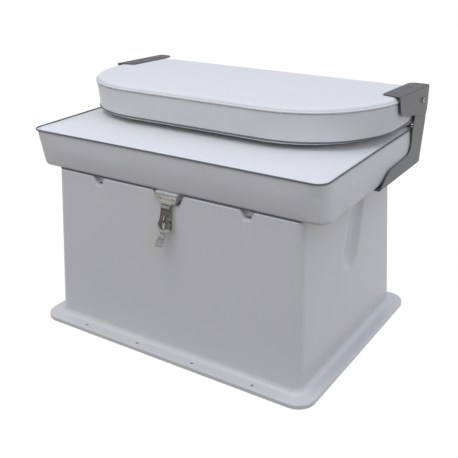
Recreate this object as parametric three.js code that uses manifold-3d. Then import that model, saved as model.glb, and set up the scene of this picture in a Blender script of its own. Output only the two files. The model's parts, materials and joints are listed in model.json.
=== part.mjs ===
// A boat seat box: a moulded storage locker whose lid is the seat, with a backrest that folds down on it.
// Millimetres. X runs across the box, -Y is its front and +Z is up. The origin is on the deck, under the
// middle of the foot flange. The backrest lies folded on the seat, and the hasp strap hangs unhooked.

import * as THREE from 'three';
import { mergeVertices } from 'three/addons/utils/BufferGeometryUtils.js';
import Module from 'manifold-3d';

const wasm = await Module();
wasm.setup();

// Box shell: a drafted tub on a wide foot flange, open at the bottom, with a thick rim land
const flangeWidth = 800;
const flangeDepth = 600;
const flangeThickness = 12;
const flangeCornerRadius = 45;
const flangeEdgeRadius = 3;
const flangeSideLand = 36;
const flangeFrontLand = 37.5;
const boxFootWidth = flangeWidth - 2 * flangeSideLand;
const boxFootDepth = flangeDepth - 2 * flangeFrontLand;
const boxSideDraft = 18;
const boxFrontDraft = 24.5;
const boxRimWidth = boxFootWidth - 2 * boxSideDraft;
const boxRimDepth = boxFootDepth - 2 * boxFrontDraft;
const boxHeight = 414;
const boxCornerRadius = 20;
const boxWall = 5;
const footFilletRadius = 14;
const rimLand = 12;
const rimLandHeight = 28;
const rimHaunch = 10;
const rimEdgeRadius = 3;
const innerCornerRadius = 8;

// Screw holes through the front and rear of the foot flange
const flangeHoleRadius = 4;
const flangeHoleInset = 17;
const flangeHolePitch = 169;
const flangeHoleCount = 4;

// Notches in the front rim: two small drains and a wide one that the hasp hangs through
const drainNotchTopWidth = 34;
const drainNotchFootWidth = 16;
const drainNotchDepth = 19;
const drainNotchCorner = 9;
const drainNotchSpacing = 424;
const haspNotchTopWidth = 88;
const haspNotchFootWidth = 56;
const haspNotchDepth = 27;
const haspNotchCorner = 10;
const notchLipRadius = 6;

// Hand flutes: a leaning half-round channel down each side wall from the rim
const fluteRadius = 66;
const fluteDepth = 12;
const fluteLength = 194;
const fluteFloorHeight = boxHeight - fluteLength;
const fluteFootBehind = 4;
const fluteLeanDegrees = 20;

// Clearances between pieces
const seatGap = 0.3;
const overrun = 20;

// Rim seal and lid: a board under the upholstery, with a locating frame that drops inside the rim
const sealThickness = 3;
const sealWidth = 8;
const sealInset = 3;
const boardThickness = 18;
const boardCornerRadius = 22;
const frameClearance = 3;
const frameBarWidth = 14;
const frameBarHeight = 20;
const frameRearSetback = 31;
const frameRear = boxRimDepth / 2 - frameRearSetback;
const frameCornerRadius = 12;

// Seat cushion: boxed vinyl over foam, its front leaning out from foot to piping
const seatSideOverhang = 58;
const seatSideLean = 1.5;
const seatFrontOverhang = 3;
const seatFrontLean = 17;
const seatRearSetback = 2;
const seatFootWidth = boxRimWidth + 2 * seatSideOverhang;
const seatPipedWidth = seatFootWidth - 2 * seatSideLean;
const seatFootFront = boxRimDepth / 2 + seatFrontOverhang;
const seatPipedFront = seatFootFront + seatFrontLean;
const seatRear = boxRimDepth / 2 - seatRearSetback;
const seatBoxing = 96;
const seatBulge = 2;
const seatCrown = 13.5;
const seatFootRound = 5;
const seatFootCorner = 32;
const seatPipedCorner = 28;
const seatWrap = 9;
const seatSideDraw = 1.5;
const pipingRadius = 2.3;
const seatBase = boxHeight + sealThickness;
const seatPiped = seatBase + seatBoxing;

// Piano hinge behind the rim
const pianoEndInset = 26;
const pianoLength = boxRimWidth - 2 * pianoEndInset;
const pianoKnuckles = 16;
const pianoBarrelRadius = 4;
const pianoPinRadius = 1.6;
const pianoLeaf = 1.5;
const pianoBoxLeafHeight = 28;
const pianoLidLeafDepth = 32;
const pianoScrewCount = 6;
const pianoScrewMargin = 40;

// Hasp: a leaf on the lid frame, a slotted strap that leans on the eye, and a swivel eye on the wall
const haspPinDrop = 29;
const haspPinHeight = boxHeight - haspPinDrop;
const haspStandOff = 8;
const haspPinRadius = 1.5;
const haspBarrelRadius = 4;
const haspPlate = 2;
const haspWidth = 27;
const haspStrapBarrelWidth = 13.4;
const haspLeafWidth = 60;
const haspLeafShoulder = 16;
const haspLeafTop = 27.5;
const haspLeafScrewHeight = 17.5;
const haspLeafScrewSpacing = 37;
const haspBlockTopWidth = 62;
const haspBlockFootWidth = 44;
const haspBlockHeight = 26;
const haspLeanDegrees = 17;
const strapNeckAt = 61;
const strapNeckWidth = 12;
const strapTabWidth = 22;
const strapTabLength = 29;
const strapTabBendDegrees = 22;
const strapTabStart = 67;
const strapBossAt = 45;
const strapBossRadius = 17.5;
const strapBossRise = 1.2;
const strapSlotStart = 18;
const strapSlotEnd = 53;
const strapSlotWidth = 10;
const eyeAlongStrap = 42;
const eyePlateThickness = 2.5;
const eyePlateWidth = 24;
const eyePlateHeight = 48;
const eyeScrewSpacing = 34;
const eyeLugWidth = 20;
const eyeLugThickness = 5;
const eyeLoopWidth = 11;
const eyeLoopHeight = 5.8;
const eyeLugCollar = 1.2;
const eyeStemRadius = 4;
const eyeNutThickness = 5;
const eyeNutRadius = 7.5;
const eyeRestGap = 0.6;

// Backrest: a D-shaped back panel and a cushion that tapers to its piping, here face down
const backSideSetback = 7.5;
const backRearOverhang = 22;
const backDepth = 405;
const backHalfWidth = seatFootWidth / 2 - backSideSetback;
const backRear = seatRear + backRearOverhang;
const backFront = backDepth - backRear;
const backCornerAcross = 223;
const backCornerAlong = 231;
const backCornerFullness = 2.16;
const backRearCorner = 12;
const backTopRise = 95;
const backTopHeight = seatPiped + backTopRise;
const backPanelThickness = 10;
const backPanelBevel = 12;
const backPipedRise = 18;
const backFaceRise = 10.5;
const backCushionPiped = seatPiped + backPipedRise;
const backCushionFace = seatPiped + backFaceRise;
const backTaperSide = 3;
const backTaperFront = 10;
const backTaperRear = 3;
const backBulge = 2;
const backLeanDegrees = 2.2;
const weltRadius = 2.3;

// Backrest brackets: folded sheet, the lower ones on the lid and the upper ones on the back panel.
// Their places along Y are measured from the pivot, and their heights from the seat's piping.
const bracketSheet = 3;
const bracketBend = 4;
const bracketSideGap = 1.5;
const lowerFlangeWidth = 38;
const lowerFootAhead = 225;
const lowerFootBehind = 24;
const lowerFootTip = 3;
const lowerFootTaper = 50;
const lowerFootHeight = 36;
const lowerFootRise = 7;
const lowerFootCorner = 14;
const lowerLegAhead = 40;
const lowerLegFillet = 30;
const lowerKneeRise = 5;
const lowerLegBehind = 47;
const lowerLegCorner = 12;
const lowerShoulderRise = 22;
const lowerShoulderSetback = 6;
const lowerLugRadius = 24;
const pivotOverhang = 9;
const pivotRise = 66;
const pivotBehind = seatRear + pivotOverhang;
const pivotHeight = seatPiped + pivotRise;
const washerThickness = 1;
const washerRadius = 12;
const upperAhead = 157;
const upperFrontSlope = 17;
const upperBehind = 38;
const upperFrontFootRise = 53;
const upperRearFootRise = 23;
const upperRearKneeRise = 39;
const upperRearChamfer = 6;
const upperCorner = 10;
const tabWidth = 48;
const tabTipSetback = 15;
const tabRearCorner = 26;
const tabScrewInset = 29;
const tabScrewAhead = 113;
const tabScrewNearAhead = 14;

// Fasteners
const screwShankRadius = 2.2;
const screwHeadRadius = 4.2;
const screwHeadHeight = 2.2;
const screwLength = 9;
const smallShankRadius = 1.8;
const smallHeadRadius = 3.6;
const smallHeadHeight = 1.6;
const smallScrewLength = 10;
const flangeScrewCount = 3;
const flangeScrewAhead = 185;
const flangeScrewNearAhead = 25;
const boltRadius = 4;
const boltHeadRadius = 7;
const boltHeadHeight = 4.5;
const nutThickness = 5.5;
const nutRadius = 7.4;
const boltProud = 1;

// Facet counts
const cornerSteps = 6;
const seatSideSteps = 4;
const backCornerSteps = 10;
const backRearSteps = 3;
const pipeSides = 8;
const holeSides = 12;
const boltSides = 20;
const screwSides = 10;
const barrelSides = 10;
const fluteSides = 36;
const fluteRings = 8;
const outlineSteps = 4;

// Materials
const finishes = {
  gelcoat: new THREE.MeshStandardMaterial({ color: 0xeceef0, roughness: 0.28, metalness: 0 }),
  vinyl: new THREE.MeshStandardMaterial({ color: 0xe6e8ec, roughness: 0.5, metalness: 0 }),
  piping: new THREE.MeshStandardMaterial({ color: 0x62686e, roughness: 0.55, metalness: 0 }),
  board: new THREE.MeshStandardMaterial({ color: 0xe2e2de, roughness: 0.6, metalness: 0 }),
  seal: new THREE.MeshStandardMaterial({ color: 0x2c2d2f, roughness: 0.85, metalness: 0 }),
  bracket: new THREE.MeshStandardMaterial({ color: 0x66676a, roughness: 0.42, metalness: 0.3 }),
  stainless: new THREE.MeshStandardMaterial({ color: 0xb9bbbd, roughness: 0.25, metalness: 1 }),
  nylon: new THREE.MeshStandardMaterial({ color: 0xdcdcd8, roughness: 0.6, metalness: 0 }),
};

// Solids: three.js geometry goes in, joins and cuts are made, and geometry comes back out
const weldDistance = 0.0005;

function signedVolume(positions, faces) {
  const a = new THREE.Vector3();
  const b = new THREE.Vector3();
  const c = new THREE.Vector3();
  let total = 0;
  for (let face = 0; face < faces.length; face += 3) {
    a.fromArray(positions, 3 * faces[face]);
    b.fromArray(positions, 3 * faces[face + 1]);
    c.fromArray(positions, 3 * faces[face + 2]);
    total += a.dot(b.cross(c));
  }
  return total / 6;
}

function toSolid(geometry) {
  const bare = geometry.clone();
  bare.deleteAttribute('normal');
  bare.deleteAttribute('uv');
  const welded = mergeVertices(bare, weldDistance);
  const positions = welded.getAttribute('position').array;
  const source = welded.index.array;
  const faces = [];
  for (let face = 0; face < source.length; face += 3) {
    const [a, b, c] = [source[face], source[face + 1], source[face + 2]];
    if (a !== b && b !== c && c !== a) faces.push(a, b, c);
  }
  if (signedVolume(positions, faces) < 0) faces.reverse();
  return new wasm.Manifold(new wasm.Mesh({
    numProp: 3,
    vertProperties: Float32Array.from(positions),
    triVerts: Uint32Array.from(faces),
  }));
}

function toGeometry(solid) {
  const mesh = solid.getMesh();
  const geometry = new THREE.BufferGeometry();
  geometry.setAttribute('position', new THREE.BufferAttribute(Float32Array.from(mesh.vertProperties), 3));
  geometry.setIndex(new THREE.BufferAttribute(Uint32Array.from(mesh.triVerts), 1));
  geometry.computeVertexNormals();
  return geometry;
}

function join(...solids) {
  return solids.reduce((whole, solid) => whole.add(solid));
}

function cut(solid, ...tools) {
  return tools.reduce((whole, tool) => whole.subtract(tool), solid);
}

// Directions that an outline's own u, v and depth are laid along
const xAxis = new THREE.Vector3(1, 0, 0);
const yAxis = new THREE.Vector3(0, 1, 0);
const zAxis = new THREE.Vector3(0, 0, 1);
const planView = new THREE.Matrix4();
const sideView = new THREE.Matrix4().makeBasis(yAxis, zAxis, xAxis);
const frontView = new THREE.Matrix4().makeBasis(xAxis, zAxis, yAxis.clone().negate());

function degrees(angle) {
  return THREE.MathUtils.degToRad(angle);
}

// Skin through rings of points that run anticlockwise seen from above and rise along the outside.
// A closed one joins its last ring to its first, and otherwise both ends are capped at their middle.
function loft(rings, closed = false) {
  const count = rings[0].length;
  const points = rings.flat();
  const faces = [];
  const spans = closed ? rings.length : rings.length - 1;
  for (let row = 0; row < spans; row += 1) {
    const base = row * count;
    const above = ((row + 1) % rings.length) * count;
    for (let step = 0; step < count; step += 1) {
      const ahead = (step + 1) % count;
      faces.push(base + step, base + ahead, above + ahead, base + step, above + ahead, above + step);
    }
  }
  if (!closed) {
    const last = (rings.length - 1) * count;
    for (const [start, turn] of [[0, -1], [last, 1]]) {
      const ring = points.slice(start, start + count);
      const middle = ring.reduce((sum, point) => sum.clone().add(point)).divideScalar(count);
      points.push(middle);
      for (let step = 0; step < count; step += 1) {
        const ahead = (step + 1) % count;
        const edge = turn > 0 ? [step, ahead] : [ahead, step];
        faces.push(points.length - 1, start + edge[0], start + edge[1]);
      }
    }
  }
  const geometry = new THREE.BufferGeometry().setFromPoints(points);
  geometry.setIndex(faces);
  return toSolid(geometry);
}

// A corner of a ring: its reach across and along the box, its facets, and 2 for round or more for fuller
function roundCorner(radius, steps = cornerSteps) {
  return { across: radius, along: radius, steps, fullness: 2 };
}

function cornerPoints(x, y, corner, quarter) {
  const power = 2 / corner.fullness;
  const points = [];
  for (let step = 0; step <= corner.steps; step += 1) {
    const angle = (quarter + step / corner.steps) * Math.PI / 2;
    const across = Math.sign(Math.cos(angle)) * Math.abs(Math.cos(angle)) ** power;
    const along = Math.sign(Math.sin(angle)) * Math.abs(Math.sin(angle)) ** power;
    points.push(new THREE.Vector2(x + corner.across * across, y + corner.along * along));
  }
  return points;
}

// One level ring of a box-like form. The sides between its corners can be drawn in.
function planRing({ halfWidth, front, rear, z, corner, rearCorner = corner, sideSteps = 1, draw = 0 }) {
  const corners = [
    cornerPoints(halfWidth - rearCorner.across, rear - rearCorner.along, rearCorner, 0),
    cornerPoints(rearCorner.across - halfWidth, rear - rearCorner.along, rearCorner, 1),
    cornerPoints(corner.across - halfWidth, corner.along - front, corner, 2),
    cornerPoints(halfWidth - corner.across, corner.along - front, corner, 3),
  ];
  const ring = [];
  corners.forEach((points, index) => {
    ring.push(...points);
    const from = points[points.length - 1];
    const to = corners[(index + 1) % corners.length][0];
    const inward = new THREE.Vector2(from.y - to.y, to.x - from.x).normalize();
    for (let step = 1; step < sideSteps; step += 1) {
      const along = step / sideSteps;
      ring.push(from.clone().lerp(to, along).addScaledVector(inward, draw * Math.sin(Math.PI * along)));
    }
  });
  return ring.map((point) => new THREE.Vector3(point.x, point.y, z));
}

// A round cord lying along a level closed path
function pipeAlong(path, radius) {
  const sections = path.map((point, index) => {
    const before = path[(index + path.length - 1) % path.length];
    const after = path[(index + 1) % path.length];
    const outward = new THREE.Vector3(after.y - before.y, before.x - after.x, 0).normalize();
    const section = [];
    for (let side = 0; side < pipeSides; side += 1) {
      const angle = 2 * Math.PI * (side + 1 / 2) / pipeSides;
      section.push(point.clone()
        .addScaledVector(outward, radius * Math.cos(angle))
        .addScaledVector(zAxis, -radius * Math.sin(angle)));
    }
    return section;
  });
  return loft(sections, true);
}

// A closed outline from corner points, each with the length that its rounding takes off both edges
function roundedShape(corners) {
  const shape = new THREE.Shape();
  corners.forEach(([u, v, rounding = 0], index) => {
    const here = new THREE.Vector2(u, v);
    const [beforeU, beforeV] = corners[(index + corners.length - 1) % corners.length];
    const [afterU, afterV] = corners[(index + 1) % corners.length];
    const toBefore = new THREE.Vector2(beforeU, beforeV).sub(here).normalize();
    const toAfter = new THREE.Vector2(afterU, afterV).sub(here).normalize();
    const entry = here.clone().addScaledVector(toBefore, rounding);
    const exit = here.clone().addScaledVector(toAfter, rounding);
    if (index === 0) {
      shape.moveTo(entry.x, entry.y);
    } else {
      shape.lineTo(entry.x, entry.y);
    }
    if (rounding > 0) shape.quadraticCurveTo(here.x, here.y, exit.x, exit.y);
  });
  shape.closePath();
  return shape;
}

// A flat plate: an outline in one of the three views, from one depth to another along that view's depth
function plate(shape, view, from, to) {
  const geometry = new THREE.ExtrudeGeometry(shape, {
    depth: to - from,
    bevelEnabled: false,
    curveSegments: outlineSteps,
  });
  geometry.translate(0, 0, from);
  geometry.applyMatrix4(view);
  return toSolid(geometry);
}

// A round rod between two points
function rod(start, end, radius, sides) {
  const length = start.distanceTo(end);
  const geometry = new THREE.CylinderGeometry(radius, radius, length, sides);
  const direction = end.clone().sub(start).normalize();
  geometry.applyQuaternion(new THREE.Quaternion().setFromUnitVectors(yAxis, direction));
  geometry.translate(...start.clone().add(end).divideScalar(2).toArray());
  return toSolid(geometry);
}

function rodAcross(fromX, toX, y, z, radius, sides) {
  return rod(new THREE.Vector3(fromX, y, z), new THREE.Vector3(toX, y, z), radius, sides);
}

// A turned piece: a half profile of radius and height pairs, with its axis along a direction
function turned(profile, at, direction, sides) {
  const geometry = new THREE.LatheGeometry(profile.map(([radius, height]) => new THREE.Vector2(radius, height)), sides);
  geometry.applyQuaternion(new THREE.Quaternion().setFromUnitVectors(yAxis, direction));
  geometry.translate(at.x, at.y, at.z);
  return toSolid(geometry);
}

// Fastener forms, each with the underside of its head at the point given and its head towards outward
const headShoulderShare = 0.62;
const headRimShare = 0.4;

function headedPin(at, outward, head, headHeight, shank, length, sides) {
  const profile = [
    [0, -length],
    [shank, -length],
    [shank, 0],
    [head, 0],
    [head, headHeight * headRimShare],
    [head * headShoulderShare, headHeight],
    [0, headHeight],
  ];
  return turned(profile, at, outward, sides);
}

function screw(at, outward, length = screwLength) {
  return headedPin(at, outward, screwHeadRadius, screwHeadHeight, screwShankRadius, length, screwSides);
}

function smallScrew(at, outward) {
  return headedPin(at, outward, smallHeadRadius, smallHeadHeight, smallShankRadius, smallScrewLength, screwSides);
}

// The hole that a fastener's shank runs in, from under its head to past its tip
function shankHole(at, outward, shank, length) {
  const start = at.clone().addScaledVector(outward, overrun);
  const end = at.clone().addScaledVector(outward, -length - seatGap);
  return rod(start, end, shank + seatGap, holeSides);
}

function hexNut(centre, direction, radius, thickness, bore) {
  const half = direction.clone().multiplyScalar(thickness / 2);
  const body = rod(centre.clone().sub(half), centre.clone().add(half), radius, 6);
  const reach = direction.clone().multiplyScalar(thickness);
  return cut(body, rod(centre.clone().sub(reach), centre.clone().add(reach), bore, boltSides));
}

function evenly(count, from, to) {
  return Array.from({ length: count }, (_, index) => from + (to - from) * index / (count - 1));
}

// The finished object, one group for each body that moves by itself
const seatBox = new THREE.Group();
const boxGroup = new THREE.Group();
const eyeGroup = new THREE.Group();
const lidGroup = new THREE.Group();
const strapGroup = new THREE.Group();
const backrestGroup = new THREE.Group();
seatBox.add(boxGroup, eyeGroup, lidGroup, strapGroup, backrestGroup);

// The folded backrest rests on the crown of the seat, so it is turned a little open about its pivots.
// Its pieces are drawn level, in the frame below.
const backrestFrame = new THREE.Group();
backrestGroup.position.set(0, pivotBehind, pivotHeight);
backrestGroup.rotation.x = -degrees(backLeanDegrees);
backrestFrame.position.set(0, -pivotBehind, -pivotHeight);
backrestGroup.add(backrestFrame);

function addPiece(group, name, solid, finish) {
  const mesh = new THREE.Mesh(toGeometry(solid), finish);
  mesh.name = name;
  group.add(mesh);
}

const sides = [{ side: 'left', sign: -1 }, { side: 'right', sign: 1 }];

// The outer wall's half width and half depth at a height, from its draft
function wallHalf(foot, rim, z) {
  const rise = (z - flangeThickness) / (boxHeight - flangeThickness);
  return (foot + (rim - foot) * rise) / 2;
}

const wallHalfWidth = (z) => wallHalf(boxFootWidth, boxRimWidth, z);
const wallHalfDepth = (z) => wallHalf(boxFootDepth, boxRimDepth, z);
const endDraft = Math.atan((boxFootDepth - boxRimDepth) / 2 / (boxHeight - flangeThickness));

// A ring of the shell at a height, set in from the outer wall line by an offset
function shellRing(z, offset, radius) {
  return planRing({
    halfWidth: wallHalfWidth(z) - offset,
    front: wallHalfDepth(z) - offset,
    rear: wallHalfDepth(z) - offset,
    z,
    corner: roundCorner(radius),
  });
}

function flangeRing(z, offset) {
  return planRing({
    halfWidth: flangeWidth / 2 - offset,
    front: flangeDepth / 2 - offset,
    rear: flangeDepth / 2 - offset,
    z,
    corner: roundCorner(flangeCornerRadius - offset),
  });
}

// Steps of a quarter round: how far it has turned in from its start, and how far up
function quarterRound(radius, steps) {
  return evenly(steps + 1, 0, Math.PI / 2).map((angle) => ({
    across: radius * (1 - Math.cos(angle)),
    up: radius * Math.sin(angle),
  }));
}

function shellSolid() {
  const rings = [flangeRing(0, 0)];
  for (const { across, up } of quarterRound(flangeEdgeRadius, 2)) {
    rings.push(flangeRing(flangeThickness - flangeEdgeRadius + up, across));
  }
  for (const { across, up } of quarterRound(footFilletRadius, 4)) {
    const outside = footFilletRadius - up;
    rings.push(shellRing(flangeThickness + across, -outside, boxCornerRadius + outside));
  }
  for (const { across, up } of quarterRound(rimEdgeRadius, 3)) {
    rings.push(shellRing(boxHeight - rimEdgeRadius + up, across, boxCornerRadius - across));
  }
  for (const { across, up } of quarterRound(rimEdgeRadius, 2).reverse()) {
    rings.push(shellRing(boxHeight - rimEdgeRadius + up, rimLand - across, innerCornerRadius + across));
  }
  const landFoot = boxHeight - rimLandHeight;
  rings.push(shellRing(landFoot, rimLand, innerCornerRadius));
  rings.push(shellRing(landFoot - rimHaunch, boxWall, boxCornerRadius - boxWall));
  rings.push(shellRing(0, boxWall, boxCornerRadius - boxWall));
  return loft(rings, true);
}

// The filled outer form of the tub, which the inner faces of the flutes are kept inside
function tubSolid() {
  return loft([0, boxHeight].map((z) => shellRing(z, 0, boxCornerRadius)));
}

// A leaning round-ended channel tool beside one side wall. Its back is plumb, so it deepens with the draft.
function fluteTool(sign, radius) {
  const chord = Math.sqrt(fluteRadius ** 2 - (fluteRadius - fluteDepth) ** 2);
  const foot = fluteFloorHeight + chord;
  const axisX = wallHalfWidth(foot) - fluteDepth + fluteRadius;
  const lean = new THREE.Vector3(0, Math.sin(degrees(fluteLeanDegrees)), Math.cos(degrees(fluteLeanDegrees)));
  const length = (boxHeight + overrun - foot) / lean.z;
  const profile = [];
  for (let ring = 0; ring <= fluteRings; ring += 1) {
    const angle = Math.PI / 2 * ring / fluteRings;
    profile.push([radius * Math.sin(angle), -radius * Math.cos(angle)]);
  }
  profile.push([radius, length], [0, length]);
  return turned(profile, new THREE.Vector3(sign * axisX, fluteFootBehind, foot), lean, fluteSides);
}

// A rim notch tool: straight through the rim land, then flaring to a rolled lip at the outer face
function notchTool(centreX, topWidth, footWidth, depth, corner) {
  const outline = (grow) => {
    const top = topWidth / 2 + grow;
    const foot = footWidth / 2 + grow;
    const floor = boxHeight - depth - grow;
    const above = boxHeight + overrun;
    const shape = roundedShape([
      [centreX - top, above],
      [centreX - top, boxHeight],
      [centreX - foot, floor, corner + grow / 2],
      [centreX + foot, floor, corner + grow / 2],
      [centreX + top, boxHeight],
      [centreX + top, above],
    ]);
    return shape.getPoints(outlineSteps * 2);
  };
  const face = wallHalfDepth(boxHeight - depth / 2);
  const stations = [{ y: -(face - rimLand - overrun), grow: 0 }];
  for (const { across, up } of quarterRound(notchLipRadius, 4)) {
    stations.push({ y: -(face - notchLipRadius + up), grow: across });
  }
  stations.push({ y: -(face + overrun), grow: notchLipRadius });
  return loft(stations.map(({ y, grow }) => outline(grow).map((point) => new THREE.Vector3(point.x, y, point.y))));
}

const flangeHoleYs = [1, -1].map((end) => end * (flangeDepth / 2 - flangeHoleInset));
const flangeHoleReach = flangeHolePitch * (flangeHoleCount - 1) / 2;
const flangeHoles = flangeHoleYs.flatMap((y) => evenly(flangeHoleCount, -flangeHoleReach, flangeHoleReach)
  .map((x) => new THREE.Vector3(x, y, 0)));

// Piano hinge: its pin runs behind the rear wall at the height where the lid leaf lies under the board
const pianoY = wallHalfDepth(boxHeight) + seatGap + pianoBarrelRadius;
const pianoZ = seatBase - seatGap - pianoBarrelRadius;
const pianoPitch = pianoLength / pianoKnuckles;
const rearNormal = new THREE.Vector3(0, Math.cos(endDraft), Math.sin(endDraft));
const rearDown = new THREE.Vector3(0, Math.sin(endDraft), -Math.cos(endDraft));
const pianoBoxScrewDown = pianoBoxLeafHeight * 2 / 3;
const pianoLidScrewIn = pianoLidLeafDepth * 3 / 4;
const pianoScrewXs = evenly(pianoScrewCount, pianoScrewMargin - pianoLength / 2, pianoLength / 2 - pianoScrewMargin);

// Faces of the box leaf, measured out from the pin axis square to the rear wall
const pianoInnerFace = -pianoBarrelRadius;
const pianoOuterFace = pianoInnerFace + pianoLeaf;

function rearPoint(x, down, out) {
  return new THREE.Vector3(x, pianoY, pianoZ).addScaledVector(rearDown, down).addScaledVector(rearNormal, out);
}

const pianoBoxScrews = pianoScrewXs.map((x) => rearPoint(x, pianoBoxScrewDown, pianoOuterFace + seatGap));
const pianoLidScrewZ = pianoZ + pianoBarrelRadius - pianoLeaf - seatGap;
const pianoLidScrews = pianoScrewXs.map((x) => new THREE.Vector3(x, pianoY - pianoLidScrewIn, pianoLidScrewZ));

function knuckleRods(parity, gap, radius) {
  const rods = [];
  for (let index = parity; index < pianoKnuckles; index += 2) {
    const from = index * pianoPitch - pianoLength / 2;
    rods.push(rodAcross(from + gap, from + pianoPitch - gap, pianoY, pianoZ, radius, barrelSides));
  }
  return rods;
}

function pianoLeafSolid(parity, leaf) {
  const whole = join(leaf, ...knuckleRods(parity, seatGap / 2, pianoBarrelRadius));
  const others = knuckleRods(1 - parity, -seatGap / 2, pianoBarrelRadius + seatGap);
  const bore = rodAcross(-pianoLength, pianoLength, pianoY, pianoZ, pianoPinRadius + seatGap, barrelSides);
  return cut(whole, ...others, bore);
}

function pianoBoxLeaf() {
  const half = pianoLength / 2;
  const corners = [[0, pianoInnerFace], [0, pianoOuterFace], [pianoBoxLeafHeight, pianoOuterFace],
    [pianoBoxLeafHeight, pianoInnerFace]];
  const shape = roundedShape(corners.map(([down, out]) => {
    const point = rearPoint(0, down, out);
    return [point.y, point.z];
  }));
  const holes = pianoBoxScrews.map((at) => shankHole(at, rearNormal, smallShankRadius, overrun));
  return cut(pianoLeafSolid(0, plate(shape, sideView, -half, half)), ...holes);
}

function pianoLidLeaf() {
  const half = pianoLength / 2;
  const shape = roundedShape([
    [pianoY - pianoLidLeafDepth, pianoZ + pianoBarrelRadius - pianoLeaf],
    [pianoY, pianoZ + pianoBarrelRadius - pianoLeaf],
    [pianoY, pianoZ + pianoBarrelRadius],
    [pianoY - pianoLidLeafDepth, pianoZ + pianoBarrelRadius],
  ]);
  const down = zAxis.clone().negate();
  const holes = pianoLidScrews.map((at) => shankHole(at, down, smallShankRadius, overrun));
  return cut(pianoLeafSolid(1, plate(shape, sideView, -half, half)), ...holes);
}

// Hasp: the pin stands off the front wall, and the strap leans out from it until it rests over the eye
const haspY = -(wallHalfDepth(haspPinHeight) + haspStandOff);
const haspPin = new THREE.Vector3(0, haspY, haspPinHeight);
const haspBack = haspBarrelRadius;
const haspFront = haspBarrelRadius - haspPlate;
const wallOutward = new THREE.Vector3(0, -Math.cos(endDraft), Math.sin(endDraft));
const leanFromWall = degrees(haspLeanDegrees) - endDraft;
const eyeHeight = haspPinHeight - eyeAlongStrap * Math.cos(degrees(haspLeanDegrees));
const strapOverEye = haspStandOff * Math.cos(endDraft) - haspBack * Math.cos(leanFromWall)
  + eyeAlongStrap * Math.sin(leanFromWall);
const eyeReach = strapOverEye - eyeRestGap;

// The swivel eye's own frame sits on the wall, with -Y out of the wall
eyeGroup.position.set(0, -wallHalfDepth(eyeHeight), eyeHeight);
eyeGroup.rotation.x = -endDraft;

function onWall(x, out, up) {
  eyeGroup.updateMatrix();
  return new THREE.Vector3(x, -out, up).applyMatrix4(eyeGroup.matrix);
}

const eyeScrewUps = [eyeScrewSpacing / 2, -eyeScrewSpacing / 2];
const eyeScrews = eyeScrewUps.map((up) => onWall(0, eyePlateThickness + 2 * seatGap, up));
const haspLeafScrews = sides.map(({ sign }) => new THREE.Vector3(
  sign * haspLeafScrewSpacing / 2,
  haspY + haspFront - seatGap,
  haspPinHeight + haspLeafScrewHeight,
));

// Box body
function boxShell() {
  const tub = tubSolid();
  const bulges = sides.map(({ sign }) => fluteTool(sign, fluteRadius + boxWall).intersect(tub));
  const flutes = sides.map(({ sign }) => fluteTool(sign, fluteRadius));
  const drains = sides.map(({ sign }) => notchTool(
    sign * drainNotchSpacing / 2,
    drainNotchTopWidth,
    drainNotchFootWidth,
    drainNotchDepth,
    drainNotchCorner,
  ));
  const haspNotch = notchTool(0, haspNotchTopWidth, haspNotchFootWidth, haspNotchDepth, haspNotchCorner);
  const deckHoles = flangeHoles.map((at) => shankHole(at, zAxis, flangeHoleRadius, overrun));
  const stemHole = rod(onWall(0, -overrun, 0), onWall(0, overrun, 0), eyeStemRadius + seatGap, boltSides);
  const screwHoles = [
    ...eyeScrews.map((at) => shankHole(at, wallOutward, smallShankRadius, overrun)),
    ...pianoBoxScrews.map((at) => shankHole(at, rearNormal, smallShankRadius, smallScrewLength)),
  ];
  return cut(join(shellSolid(), ...bulges), ...flutes, ...drains, haspNotch, ...deckHoles, stemHole, ...screwHoles);
}

addPiece(boxGroup, 'box_shell', boxShell(), finishes.gelcoat);
addPiece(boxGroup, 'hinge_box_leaf', pianoBoxLeaf(), finishes.stainless);
pianoBoxScrews.forEach((at, index) => {
  addPiece(boxGroup, `hinge_box_screw_${index + 1}`, smallScrew(at, rearNormal), finishes.stainless);
});

function eyePlate() {
  const rounding = eyePlateWidth / 2;
  const shape = roundedShape([
    [-eyePlateWidth / 2, -eyePlateHeight / 2, rounding],
    [eyePlateWidth / 2, -eyePlateHeight / 2, rounding],
    [eyePlateWidth / 2, eyePlateHeight / 2, rounding],
    [-eyePlateWidth / 2, eyePlateHeight / 2, rounding],
  ]);
  const onFace = eyeGroup.matrix.clone().multiply(frontView);
  const holes = eyeScrews.map((at) => shankHole(at, wallOutward, smallShankRadius, overrun));
  const stemHole = rod(onWall(0, -overrun, 0), onWall(0, overrun, 0), eyeStemRadius + seatGap, boltSides);
  return cut(plate(shape, onFace, seatGap, seatGap + eyePlateThickness), ...holes, stemHole);
}

addPiece(boxGroup, 'eye_plate', eyePlate(), finishes.stainless);
eyeScrews.forEach((at, index) => {
  addPiece(boxGroup, `eye_plate_screw_${index + 1}`, smallScrew(at, wallOutward), finishes.stainless);
});

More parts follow.
